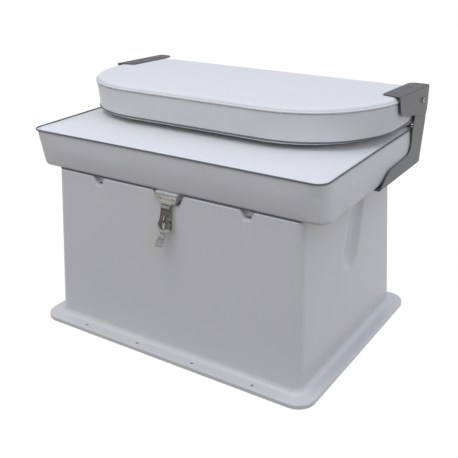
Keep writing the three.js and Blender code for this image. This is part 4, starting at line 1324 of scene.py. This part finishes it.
    def deck_holes(self) -> list[bpy.types.Object]:
        """Cutters for the screw holes through the front and rear of the flange, with a light countersink.

        Returns:
            The cutters, in place.
        """
        radius, sink, top = self.hole_radius, self.hole_sink, self.flange_thickness
        profile = [(radius, -sink), (radius, top - sink), (radius + sink, top), (radius + sink, top + sink)]
        cutters = []
        for end in (-1, 1):
            for x in self.hole_reach:
                cutter = turned("deck_hole", profile, self.hole_sides)
                cutter.matrix_world = Matrix.Translation((x, end * self.hole_behind, 0.0))
                cutters.append(cutter)
        return cutters

    def build(self, shop: FittingShop) -> None:
        """Makes the moulding.

        Args:
            shop: Finishes it.
        """
        piece = skin("locker_moulding", self.rings(), Ends.JOINED)
        carve(piece, self.deck_holes())
        shop.fit(even_weights(piece), Body.BOX, Finish.GELCOAT, "box_shell")


@dataclass
class SeatUpholstery:
    """The seat: a boxed cushion drawn over the lid's board, with grey piping round its top."""

    foot_half: float = 404 * MM
    piped_half: float = 402.5 * MM
    foot_front: float = 241 * MM
    piped_front: float = 258 * MM
    rear: float = 241 * MM
    base: float = 417.3 * MM
    piped: float = 513 * MM
    crown: float = 13.5 * MM
    foot_round: float = 6 * MM
    foot_spans: int = 4
    foot_corner: float = 32 * MM
    piped_corner: float = 28 * MM
    rear_corner: float = 12 * MM
    draw: float = 1.5 * MM
    slack: float = 1.0 * MM
    piping: float = 2.0 * MM
    under_grip: float = 9 * MM
    sewing: Seam = Seam(grip=8 * MM, reach=6 * MM, pull=0.8)
    stuffing: Stuffing = Stuffing()
    boxing_rows: tuple[float, float, int] = (0.1, 0.96, 12)
    crown_shares: tuple[tuple[float, float], ...] = (
        (0.0, 0.0), (0.03, 0.2), (0.08, 0.42), (0.16, 0.64),
        (0.28, 0.82), (0.45, 0.94), (0.66, 0.99), (0.86, 1.0),
    )
    board_corner: float = 22 * MM
    board_room: float = 0.3 * MM
    board_below: float = 20 * MM

    def outline(self, share: float, out: float = 0.0) -> Outline:
        """The cushion's outline.

        Args:
            share: The height in it, as a share of its boxing's.
            out: How far the outline is moved out.

        Returns:
            The outline.
        """
        half = self.foot_half + (self.piped_half - self.foot_half) * share
        front = self.foot_front + (self.piped_front - self.foot_front) * share
        corner = round_corner(self.foot_corner + (self.piped_corner - self.foot_corner) * share)
        return Outline(half + out, front + out, self.rear + out, corner, round_corner(self.rear_corner))

    def stations(self) -> Stations:
        """Points close enough for an even cloth."""
        return even_stations(corner=8, rear_corner=8, rear=60, side=36, front=60)

    def seam(self) -> np.ndarray:
        """The line that the piping is sewn along."""
        return spaced(self.outline(1.0).ring(self.piped, self.stations(), self.draw))

    def cover(self) -> bpy.types.Object:
        """The sewn form before it is stuffed.

        Returns:
            The cover.
        """
        stations = self.stations()
        rings = []
        for across, up in quarter_round(self.foot_round, self.foot_spans):
            inset = self.foot_round - up + self.slack
            rings.append(self.outline(0.0).inset(inset).ring(self.base + across, stations, self.draw))
        for share in np.linspace(*self.boxing_rows):
            height = self.base + (self.piped - self.base) * float(share)
            rings.append(self.outline(float(share), -self.slack).ring(height, stations, self.draw))
        for share, rise in self.crown_shares:
            inset = share * self.rear
            height = self.piped + (self.crown - self.stuffing.swell + self.slack) * rise
            rings.append(self.outline(1.0).inset(inset).ring(height, stations, self.draw * (1.0 - share)))
        return skin("seat_upholstery", rings, Ends.CAPPED)

    def held(self, points: np.ndarray) -> np.ndarray:
        """The cover is held along its seam and where it is drawn under the board.

        Args:
            points: The cover's points.

        Returns:
            How fast each is held, from 0 to 1.
        """
        _, distance = nearest(points, self.seam())
        under = np.clip(1.0 - (points[:, 2] - self.base) / self.under_grip, 0.0, 1.0)
        return np.maximum(self.sewing.held(distance), under)

    def pocket(self) -> bpy.types.Object:
        """The room that the board takes up inside the cushion.

        Returns:
            Its cutter, in place.
        """
        low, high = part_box("lid_board")
        room = self.board_room
        corner = round_corner(self.board_corner + room)
        outline = Outline(high.x + room, -low.y + room, high.y + room, corner, corner)
        stations = even_stations(corner=5, rear_corner=5, rear=2, side=2, front=2)
        levels = (low.z - self.board_below, high.z + room)
        return skin("board_room", [outline.ring(z, stations) for z in levels], Ends.CAPPED)

    def build(self, shop: FittingShop) -> None:
        """Makes the cushion and its piping.

        Args:
            shop: Finishes them.
        """
        cushion = self.cover()
        self.stuffing.fill(cushion, self.held)
        self.sewing.draw(cushion, self.seam())
        carve(cushion, [self.pocket()])
        smooth(cushion, SEWN_EDGE)
        shop.fit(cushion, Body.LID, Finish.VINYL, "seat_cushion")
        piping = tube("seat_edge_piping", self.seam(), self.piping)
        shop.fit(piping, Body.LID, Finish.PIPING, "seat_piping")


@dataclass
class Backrest:
    """The folding back: a D-shaped panel, a tapering cushion, a white welt and grey piping round the face."""

    half_width: float = 396.5 * MM
    front: float = 147 * MM
    rear: float = 258 * MM
    corner: Corner = Corner(223 * MM, 231 * MM, 2.16)
    rear_corner: float = 12 * MM
    widening: float = 10.5 * MM
    widening_run: tuple[float, float] = (-40 * MM, 100 * MM)
    waist: float = 3.5 * MM
    waist_run: tuple[float, float] = (185 * MM, 205 * MM)
    top: float = 608 * MM
    panel: float = 10 * MM
    panel_gap: float = 0.15 * MM
    panel_inset: float = 0.5 * MM
    panel_bevel: float = 12 * MM
    panel_flat: float = 1.6
    panel_spans: int = 8
    piped: float = 531 * MM
    face: float = 523.5 * MM
    face_slack: float = 0.35
    lift: float = 9 * MM
    lumbar: float = 16 * MM
    lumbar_run: float = 170 * MM
    taper: tuple[float, float, float] = (3 * MM, 10 * MM, 3 * MM)
    side_bulge: float = 0.6 * MM
    side_gap: float = 0.2 * MM
    welt: float = 2.3 * MM
    piping: float = 2.0 * MM
    glued_grip: float = 4 * MM
    face_sewing: Seam = Seam(grip=6 * MM, reach=5 * MM, pull=0.7)
    welt_sewing: Seam = Seam(grip=6 * MM, reach=6 * MM, pull=0.8)
    lean: float = BACK_LEAN
    pivot: tuple[float, float] = (245 * MM, 579 * MM)
    nut_room: float = 2 * MM
    nut_sides: int = 32
    stuffing: Stuffing = Stuffing(swell=3.0 * MM)
    face_shares: tuple[tuple[float, float], ...] = (
        (0.78, 0.0), (0.6, 0.0), (0.4, 0.0), (0.25, 0.0), (0.15, 0.01),
        (0.08, 0.02), (0.035, 0.06), (0.012, 0.16), (0.002, 0.4), (0.0, 1.0),
    )
    side_shares: tuple[tuple[float, float], ...] = (
        (0.9, 0.4), (0.75, 0.75), (0.6, 0.95), (0.45, 1.0), (0.3, 0.85), (0.15, 0.5), (0.0, 0.0),
    )

    def outline(self, share: float = 0.0, inset: float = 0.0) -> Outline:
        """The back's outline.

        Args:
            share: How far it has tapered, from 0 at the panel to 1 at the face.
            inset: How far it is drawn in besides.

        Returns:
            The outline.
        """
        side, front, rear = (amount * share for amount in self.taper)
        whole = Outline(self.half_width, self.front, self.rear, self.corner, round_corner(self.rear_corner))
        return whole.inset(side + inset, front + inset, rear + inset)

    def stations(self) -> Stations:
        """Points close enough for an even cloth."""
        return even_stations(corner=40, rear_corner=5, rear=64, side=16, front=44)

    def panel_foot(self) -> float:
        """The height where the panel meets the cushion."""
        return self.top - self.panel

    def tilt(self, piece: bpy.types.Object) -> bpy.types.Object:
        """Turns a piece that was drawn level about the pivots, as the folded back lies.

        Args:
            piece: The piece.

        Returns:
            The piece.
        """
        behind, height = self.pivot
        middle = Matrix.Translation((0.0, behind, height))
        piece.data.transform(middle @ Matrix.Rotation(-self.lean, 4, "X") @ middle.inverted())
        return piece

    def shaped(self, ring: np.ndarray, rise: float = 0.0) -> np.ndarray:
        """A ring fitted between the brackets, and bent towards the back's lower end.

        Args:
            ring: The level ring.
            rise: How far it bends up at the lower end, where the back has a lumbar roll.

        Returns:
            The shaped ring.
        """
        grown = between(ring[:, 1], self.widening_run)
        drawn = between(ring[:, 1], self.waist_run)
        extra = self.widening * grown**2 * (3.0 - 2.0 * grown) - self.waist * drawn
        near = np.clip((ring[:, 1] - self.rear + self.lumbar_run) / self.lumbar_run, 0.0, 1.0)
        across = ring[:, 0] * (1.0 + extra / self.half_width)
        return np.column_stack([across, ring[:, 1], ring[:, 2] + rise * near**2])

    def seam(self) -> np.ndarray:
        """The line of the piping round the face."""
        return spaced(self.shaped(self.outline(1.0).ring(self.piped, self.stations()), self.lift))

    def welt_line(self) -> np.ndarray:
        """The line of the welt between the cushion and the panel."""
        return spaced(self.shaped(self.outline().ring(self.panel_foot(), self.stations())))

    def cover(self) -> bpy.types.Object:
        """The cushion's sewn form before it is stuffed.

        Returns:
            The cover.
        """
        stations = self.stations()
        half_depth = (self.front + self.rear) / 2
        room = self.stuffing.swell * self.face_slack
        rings = []
        for share, left in self.face_shares:
            height = self.face + room + (self.piped - self.face - room) * left
            rise = self.lift * left - self.lumbar * (1.0 - left)
            rings.append(self.shaped(self.outline(1.0, share * half_depth).ring(height, stations), rise))
        top = self.panel_foot() - self.side_gap
        for share, bulge in self.side_shares:
            outline = self.outline(share, self.side_bulge * bulge)
            ring = outline.ring(top + (self.piped - top) * share, stations)
            rings.append(self.shaped(ring, self.lift * share))
        return skin("back_upholstery", rings, Ends.CAPPED)

    def held(self, points: np.ndarray) -> np.ndarray:
        """The cover is held along both sewn lines and against the panel.

        Args:
            points: The cover's points.

        Returns:
            How fast each is held, from 0 to 1.
        """
        _, from_face = nearest(points, self.seam())
        _, from_welt = nearest(points, self.welt_line())
        sewn = np.maximum(self.face_sewing.held(from_face), self.welt_sewing.held(from_welt))
        glued = np.clip(1.0 - (self.panel_foot() - points[:, 2]) / self.glued_grip, 0.0, 1.0)
        return np.maximum(sewn, glued)

    def nut_hollows(self) -> list[bpy.types.Object]:
        """Cutters for the hollows that the pivot nuts press into the cushion's sides.

        Returns:
            The two cutters, in place.
        """
        cutters = []
        for side in Side:
            low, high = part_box(f"pivot_nut_{side.word}")
            corners = [*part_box(f"pivot_nut_{side.word}"), *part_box(f"pivot_bolt_{side.word}")]
            ends = [abs(corner.x) for corner in corners]
            radius = max(high.y - low.y, high.z - low.z) / 2 + self.nut_room
            profile = [(radius, -self.nut_room), (radius, max(ends) - min(ends))]
            cutter = turned("nut_hollow", profile, self.nut_sides)
            stand_on(cutter, Vector((side.value * min(ends), *self.pivot)), side.outward)
            cutters.append(cutter)
        return cutters

    def back_panel(self) -> bpy.types.Object:
        """The panel, its edge rolled over from the welt.

        Returns:
            The panel.
        """
        stations = self.stations()
        foot = self.panel_foot() + self.panel_gap
        rings = [self.shaped(self.outline(0.0, self.panel_inset).ring(foot, stations))]
        for step in range(1, self.panel_spans + 1):
            angle = math.pi / 2 * step / self.panel_spans
            inset = self.panel_bevel * (1.0 - math.cos(angle))
            height = foot + (self.top - foot) * math.sin(angle)
            rings.append(self.shaped(self.outline(0.0, inset).ring(height, stations)))
        flat = self.outline(0.0, self.panel_bevel * self.panel_flat)
        rings.append(self.shaped(flat.ring(self.top, stations)))
        return skin("back_panel_cover", rings, Ends.CAPPED)

    def build(self, shop: FittingShop) -> None:
        """Makes the cushion, the panel, the welt and the piping.

        Args:
            shop: Finishes them.
        """
        cushion = self.cover()
        self.stuffing.fill(cushion, self.held)
        self.face_sewing.draw(cushion, self.seam())
        self.welt_sewing.draw(cushion, self.welt_line())
        carve(self.tilt(cushion), self.nut_hollows())
        smooth(cushion, SEWN_EDGE)
        shop.fit(cushion, Body.BACKREST, Finish.VINYL, "backrest_cushion")
        panel = even_weights(self.tilt(self.back_panel()))
        shop.fit(panel, Body.BACKREST, Finish.VINYL, "backrest_panel")
        welt = self.tilt(tube("back_welt", self.welt_line(), self.welt))
        shop.fit(welt, Body.BACKREST, Finish.VINYL, "backrest_welt")
        piping = self.tilt(tube("back_face_piping", self.seam(), self.piping))
        shop.fit(piping, Body.BACKREST, Finish.PIPING, "backrest_piping")


@dataclass(frozen=True)
class Dome:
    """The round top of a fastener's head, in shares of the head's radius, its rise and a quarter turn."""

    fullness: float
    rim: float
    turn: float
    steps: int
    neck: float = 0.97

    def profile(self, radius: float, rise: float) -> list[tuple[float, float]]:
        """The head's profile.

        Args:
            radius: The head's radius.
            rise: The head's height.

        Returns:
            Pairs of a radius and a height, from the head's underside up.
        """
        angles = np.linspace(0.0, math.pi / 2 * self.turn, self.steps)
        profile = [(radius * self.neck, 0.0)]
        for angle in angles:
            height = rise * (self.rim + (1.0 - self.rim) * math.sin(angle))
            profile.append((radius * math.cos(angle) ** self.fullness, height))
        return profile


@dataclass(frozen=True)
class PanScrew:
    """A pan head screw with a cross recess."""

    radius: float
    rise: float
    shank: float
    length: float
    point: float = 0.25
    point_start: float = 0.8
    head: Dome = Dome(fullness=0.6, rim=0.35, turn=0.93, steps=7)
    sides: int = 28
    recess_size: tuple[float, float] = (0.55, 0.13)
    recess_levels: tuple[tuple[float, float], ...] = ((0.3, 0.45), (1.3, 1.0))

    def mesh(self) -> bpy.types.Mesh:
        """The screw, standing on its head's underside with its head towards +Z.

        Returns:
            Its mesh.
        """
        profile = [
            (self.shank * self.point, -self.length),
            (self.shank, -self.length * self.point_start),
            (self.shank, 0.0),
            *self.head.profile(self.radius, self.rise),
        ]
        piece = turned("pan_screw", profile, self.sides)
        return mesh_alone(carve(piece, [self._recess(turn) for turn in (0.0, math.pi / 2)]))

    def _recess(self, turn: float) -> bpy.types.Object:
        """One of the two wedges that cut the cross.

        Args:
            turn: How far the wedge is turned about the screw.

        Returns:
            The wedge.
        """
        half_long, half_wide = (self.radius * share for share in self.recess_size)
        rings = []
        for height, share in self.recess_levels:
            ring = [(half_long * share * x, half_wide * y, self.rise * height) for x, y in SQUARE]
            rings.append(np.array(ring))
        wedge = skin("recess", rings, Ends.CAPPED)
        wedge.matrix_world = Matrix.Rotation(turn, 4, "Z")
        return wedge


@dataclass(frozen=True)
class SocketBolt:
    """A button head bolt with a hex socket."""

    radius: float
    rise: float
    shank: float
    length: float
    tip: float = 0.8
    tip_start: float = 0.97
    head: Dome = Dome(fullness=0.5, rim=0.2, turn=0.82, steps=8)
    sides: int = 40
    socket_radius: float = 0.42
    socket_levels: tuple[float, float] = (0.35, 1.4)
    socket_sides: int = 6

    def mesh(self) -> bpy.types.Mesh:
        """The bolt, standing on its head's underside with its head towards +Z.

        Returns:
            Its mesh.
        """
        profile = [
            (self.shank * self.tip, -self.length),
            (self.shank, -self.length * self.tip_start),
            (self.shank, 0.0),
            *self.head.profile(self.radius, self.rise),
        ]
        piece = turned("socket_bolt", profile, self.sides)
        hollow = [(self.radius * self.socket_radius, self.rise * level) for level in self.socket_levels]
        return mesh_alone(carve(piece, [turned("socket", hollow, self.socket_sides)]))


@dataclass
class Fasteners:
    """Screws and bolts of the bought fittings, each in the place that the frame gives it."""

    wall_draft: float = math.atan2(24.5, 402.0)
    crown_depth: float = 0.05 * MM
    small_rise: float = 1.6 * MM
    large_rise: float = 2.2 * MM
    large_radius: float = 4.0 * MM
    shank_share: float = 0.5
    bolt_rise: float = 4.5 * MM
    bolt_shank: float = 4 * MM

    def directions(self) -> dict[str, tuple[Body, Vector]]:
        """How each kind of screw is fitted.

        Returns:
            Its body, and the direction that its head faces, by the start of its node's name.
        """
        sine, cosine = math.sin(self.wall_draft), math.cos(self.wall_draft)
        back_up = Vector((0.0, math.sin(BACK_LEAN), math.cos(BACK_LEAN)))
        return {
            "hinge_box_screw": (Body.BOX, Vector((0.0, cosine, sine))),
            "eye_plate_screw": (Body.BOX, Vector((0.0, -cosine, sine))),
            "hinge_lid_screw": (Body.LID, Vector((0.0, 0.0, -1.0))),
            "seat_bracket_screw": (Body.LID, Vector((0.0, 0.0, -1.0))),
            "hasp_leaf_screw": (Body.LID, Vector((0.0, -1.0, 0.0))),
            "backrest_bracket_screw": (Body.BACKREST, back_up),
        }

    def measure(self, node: str, outward: Vector) -> tuple[Vector, float, float, float]:
        """Where a fastener of the frame stands.

        Args:
            node: The fastener's node.
            outward: The direction that its head faces.

        Returns:
            The middle of its head's top, the head's radius, and how far along that way its top and tip are.
        """
        points = points_of(frame["nodes"][node].data)
        along = points @ np.array(outward)
        tip, top = float(along.min()), float(along.max())
        crown = points[along > top - self.crown_depth].mean(axis=0)
        radius = float(np.linalg.norm(np.cross(points - crown, np.array(outward)), axis=1).max())
        return Vector(crown), radius, top, tip

    def build(self, shop: FittingShop) -> None:
        """Makes every screw from a few shared meshes, then the two pivot bolts.

        Args:
            shop: Finishes them.
        """
        meshes: dict[tuple[int, int], bpy.types.Mesh] = {}
        for start, (body, outward) in self.directions().items():
            for node in sorted(name for name in frame["nodes"] if name.startswith(start)):
                crown, radius, top, tip = self.measure(node, outward)
                rise = self.large_rise if radius > self.large_radius else self.small_rise
                kind = (round(radius / MM * 10), round((top - tip) / MM))
                if kind not in meshes:
                    meshes[kind] = PanScrew(radius, rise, radius * self.shank_share, top - tip - rise).mesh()
                self.place(shop, node, meshes[kind], crown - outward * rise, outward, body)
        for side in Side:
            node, rise = f"pivot_bolt_{side.word}", self.bolt_rise
            crown, radius, top, tip = self.measure(node, side.outward)
            bolt = SocketBolt(radius, rise, self.bolt_shank, top - tip - rise).mesh()
            self.place(shop, node, bolt, crown - side.outward * rise, side.outward, Body.LID)

    @staticmethod
    def place(
        shop: FittingShop, node: str, mesh: bpy.types.Mesh, at: Vector, outward: Vector, body: Body
    ) -> None:
        """Puts a fastener where its node is, and finishes it.

        Args:
            shop: Finishes it.
            node: Its node.
            mesh: Its mesh, drawn about +Z.
            at: The place of its head's underside.
            outward: The direction that its head faces.
            body: The body that it moves with.
        """
        piece = bpy.data.objects.new(f"{node}_turned", mesh.copy())
        bpy.context.scene.collection.objects.link(piece)
        stand_on(piece, at, outward)
        shop.fit(piece, body, Finish.STAINLESS, node)


@dataclass
class Ironmongery:
    """Pressed and folded metal, and the lid's frame: the frame's nodes with their edges eased."""

    easings: tuple[tuple[str, Body, Finish, float], ...] = (
        ("eye_plate", Body.BOX, Finish.STAINLESS, 0.5 * MM),
        ("hinge_box_leaf", Body.BOX, Finish.STAINLESS, 0.15 * MM),
        ("hinge_lid_leaf", Body.LID, Finish.STAINLESS, 0.15 * MM),
        ("swivel_eye", Body.EYE, Finish.STAINLESS, 0.8 * MM),
        ("swivel_eye_nut", Body.EYE, Finish.STAINLESS, 0.5 * MM),
        ("hasp_leaf", Body.LID, Finish.STAINLESS, 0.45 * MM),
        ("hasp_strap", Body.STRAP, Finish.STAINLESS, 0.45 * MM),
        ("lid_frame_front", Body.LID, Finish.GELCOAT, 1.5 * MM),
        ("lid_frame_rear", Body.LID, Finish.GELCOAT, 1.5 * MM),
        ("lid_frame_left", Body.LID, Finish.GELCOAT, 1.5 * MM),
        ("lid_frame_right", Body.LID, Finish.GELCOAT, 1.5 * MM),
        ("pivot_nut_left", Body.LID, Finish.STAINLESS, 0.5 * MM),
        ("pivot_nut_right", Body.LID, Finish.STAINLESS, 0.5 * MM),
        ("seat_bracket_left", Body.LID, Finish.BRACKET, 0.6 * MM),
        ("seat_bracket_right", Body.LID, Finish.BRACKET, 0.6 * MM),
        ("backrest_bracket_left", Body.BACKREST, Finish.BRACKET, 0.6 * MM),
        ("backrest_bracket_right", Body.BACKREST, Finish.BRACKET, 0.6 * MM),
    )

    def build(self, shop: FittingShop) -> None:
        """Eases each node's edges, and keeps the plain ones.

        Args:
            shop: Finishes them.
        """
        for node, body, finish, easing in self.easings:
            shop.fit(eased_copy(node, easing), body, finish, node)
        shop.keep(Finish.STAINLESS, "hinge_pin", "hasp_pin")
        shop.keep(Finish.NYLON, "pivot_washer_left", "pivot_washer_right")
        shop.keep(Finish.SEAL, "rim_seal_left", "rim_seal_right")
        shop.keep(Finish.BOARD, "lid_board")


def grey(level: float) -> Colour:
    """A grey of one level."""
    return (level, level, level)


@dataclass
class Studio:
    """A pale floor, soft overhead light and the photograph's camera."""

    target_height: float = 0.28
    azimuth: float = math.radians(33.444)
    elevation: float = math.radians(23.514)
    roll: float = math.radians(0.876)
    across: float = -0.00886
    upward: float = 0.0393
    distance: float = 1.91386
    lens: float = 57.82
    sensor: float = 36.0
    clip: tuple[float, float] = (0.05, 60.0)
    floor_size: float = 30.0
    floor_drop: float = 0.5 * MM
    covered: tuple[float, float] = (0.35, 0.25)
    floor_mottle: Grain = Grain(0.8, 1.0)
    floor_tones: tuple[float, float] = (0.10, 0.11)
    floor_roughness: float = 0.9
    floor_glow: float = 0.93
    deck_mottle: Grain = Grain(20.0, 3.0)
    deck_tones: tuple[float, float] = (0.55, 0.5)
    deck_roughness: float = 0.8
    white: tuple[float, float, float, float] = (1.0, 1.0, 1.0, 1.0)
    sky_stops: Stops = ((0.49, (0.11, 0.11, 0.11)), (0.52, (0.52, 0.465, 0.43)), (1.0, (0.95, 1.06, 1.23)))
    sky_tilt: float = 0.18
    lamp_place: tuple[float, float, float] = (-0.2, -1.1, 2.5)
    lamp_aim: tuple[float, float, float] = (0.0, 0.0, 0.3)
    lamp_size: float = 1.5
    lamp_power: float = 14.0
    lamp_colour: Colour = (1.0, 0.95, 0.88)

    def camera(self) -> None:
        """Places the camera where the photograph was taken from."""
        swing, rise = self.azimuth, self.elevation
        back = Vector((math.sin(swing) * math.cos(rise), -math.cos(swing) * math.cos(rise), math.sin(rise)))
        level = Vector((math.cos(swing), math.sin(swing), 0.0))
        upright = back.cross(level)
        right = level * math.cos(self.roll) - upright * math.sin(self.roll)
        top = level * math.sin(self.roll) + upright * math.cos(self.roll)
        target = Vector((0.0, 0.0, self.target_height))
        eye = target + back * self.distance - right * self.across - top * self.upward
        view = bpy.data.cameras.new("photo_view")
        view.lens, view.sensor_width = self.lens, self.sensor
        view.clip_start, view.clip_end = self.clip
        camera = bpy.data.objects.new("photo_view", view)
        pose = Matrix((right, top, back)).transposed().to_4x4()
        camera.matrix_world = Matrix.Translation(eye) @ pose
        bpy.context.scene.collection.objects.link(camera)
        bpy.context.scene.camera = camera

    def floor(self) -> None:
        """Lays a white floor that takes a faint shadow, but throws no light up at the walls."""
        across, along = self.covered
        outer = [(x * self.floor_size, y * self.floor_size) for x, y in SQUARE]
        inner = [(x * across, y * along) for x, y in SQUARE]
        points = np.array([(x, y, -self.floor_drop) for x, y in outer + inner])
        around = [(step, (step + 1) % 4, (step + 1) % 4 + 4, step + 4) for step in range(4)]
        piece = mesh_piece("studio_floor", points, [*around, (4, 5, 6, 7)])
        shown = Recipe("studio_white")
        piece.data.materials.append(shown.surface({
            "Base Color": shown.blend(shown.noise(self.floor_mottle), *map(grey, self.floor_tones)),
            "Roughness": self.floor_roughness,
            "Specular IOR Level": 0.0,
            "Emission Color": self.white,
            "Emission Strength": self.floor_glow,
        }))
        deck = Recipe("deck_under_the_box")
        piece.data.materials.append(deck.surface({
            "Base Color": deck.blend(deck.noise(self.deck_mottle), *map(grey, self.deck_tones)),
            "Roughness": self.deck_roughness,
        }))
        piece.data.polygons[len(around)].material_index = 1
        piece.visible_diffuse = False

    def sky(self) -> None:
        """Sets a soft light from above, bluer overhead and dark below, that the camera sees as white."""
        world = bpy.data.worlds.new("studio_sky")
        bpy.context.scene.world = world
        tree = NodeTree(world)
        facing = tree.node("ShaderNodeTexCoord", {}, {}, "Generated")
        tilted = {0: facing, 1: (self.sky_tilt, 0.0, 1.0)}
        upward = tree.node("ShaderNodeVectorMath", {"operation": "DOT_PRODUCT"}, tilted, "Value")
        height = tree.node("ShaderNodeMapRange", {}, {"Value": upward, "From Min": -1.0})
        tint = tree.node("ShaderNodeValToRGB", {"stops": self.sky_stops}, {"Fac": height})
        light = tree.node("ShaderNodeBackground", {}, {"Color": tint})
        backdrop = tree.node("ShaderNodeBackground", {}, {"Color": self.white})
        in_view = tree.node("ShaderNodeLightPath", {}, {}, "Is Camera Ray")
        shown = tree.node("ShaderNodeMixShader", {}, {0: in_view, 1: light, 2: backdrop})
        tree.node("ShaderNodeOutputWorld", {}, {"Surface": shown})

    def lamp(self) -> None:
        """Hangs a soft square lamp overhead, a little in front."""
        light = bpy.data.lights.new("overhead", "AREA")
        light.size, light.energy, light.color = self.lamp_size, self.lamp_power, self.lamp_colour
        lamp = bpy.data.objects.new("overhead", light)
        place, aim = Vector(self.lamp_place), Vector(self.lamp_aim)
        lamp.location = place
        lamp.rotation_euler = (aim - place).to_track_quat("-Z", "Y").to_euler()
        bpy.context.scene.collection.objects.link(lamp)

    def build(self) -> None:
        """Sets the studio up."""
        bpy.context.scene.view_settings.view_transform = "Standard"
        self.camera()
        self.floor()
        self.sky()
        self.lamp()


def main() -> None:
    """Builds the studio and every sub-assembly."""
    logging.basicConfig(level=logging.INFO, format="%(name)s: %(message)s")
    Studio().build()
    shop = FittingShop()
    assemblies: Iterable[LockerMoulding | SeatUpholstery | Backrest | Ironmongery | Fasteners] = (
        LockerMoulding(),
        SeatUpholstery(),
        Backrest(),
        Ironmongery(),
        Fasteners(),
    )
    for assembly in assemblies:
        assembly.build(shop)
    bpy.context.view_layer.update()


if __name__ == "__main__":
    main()
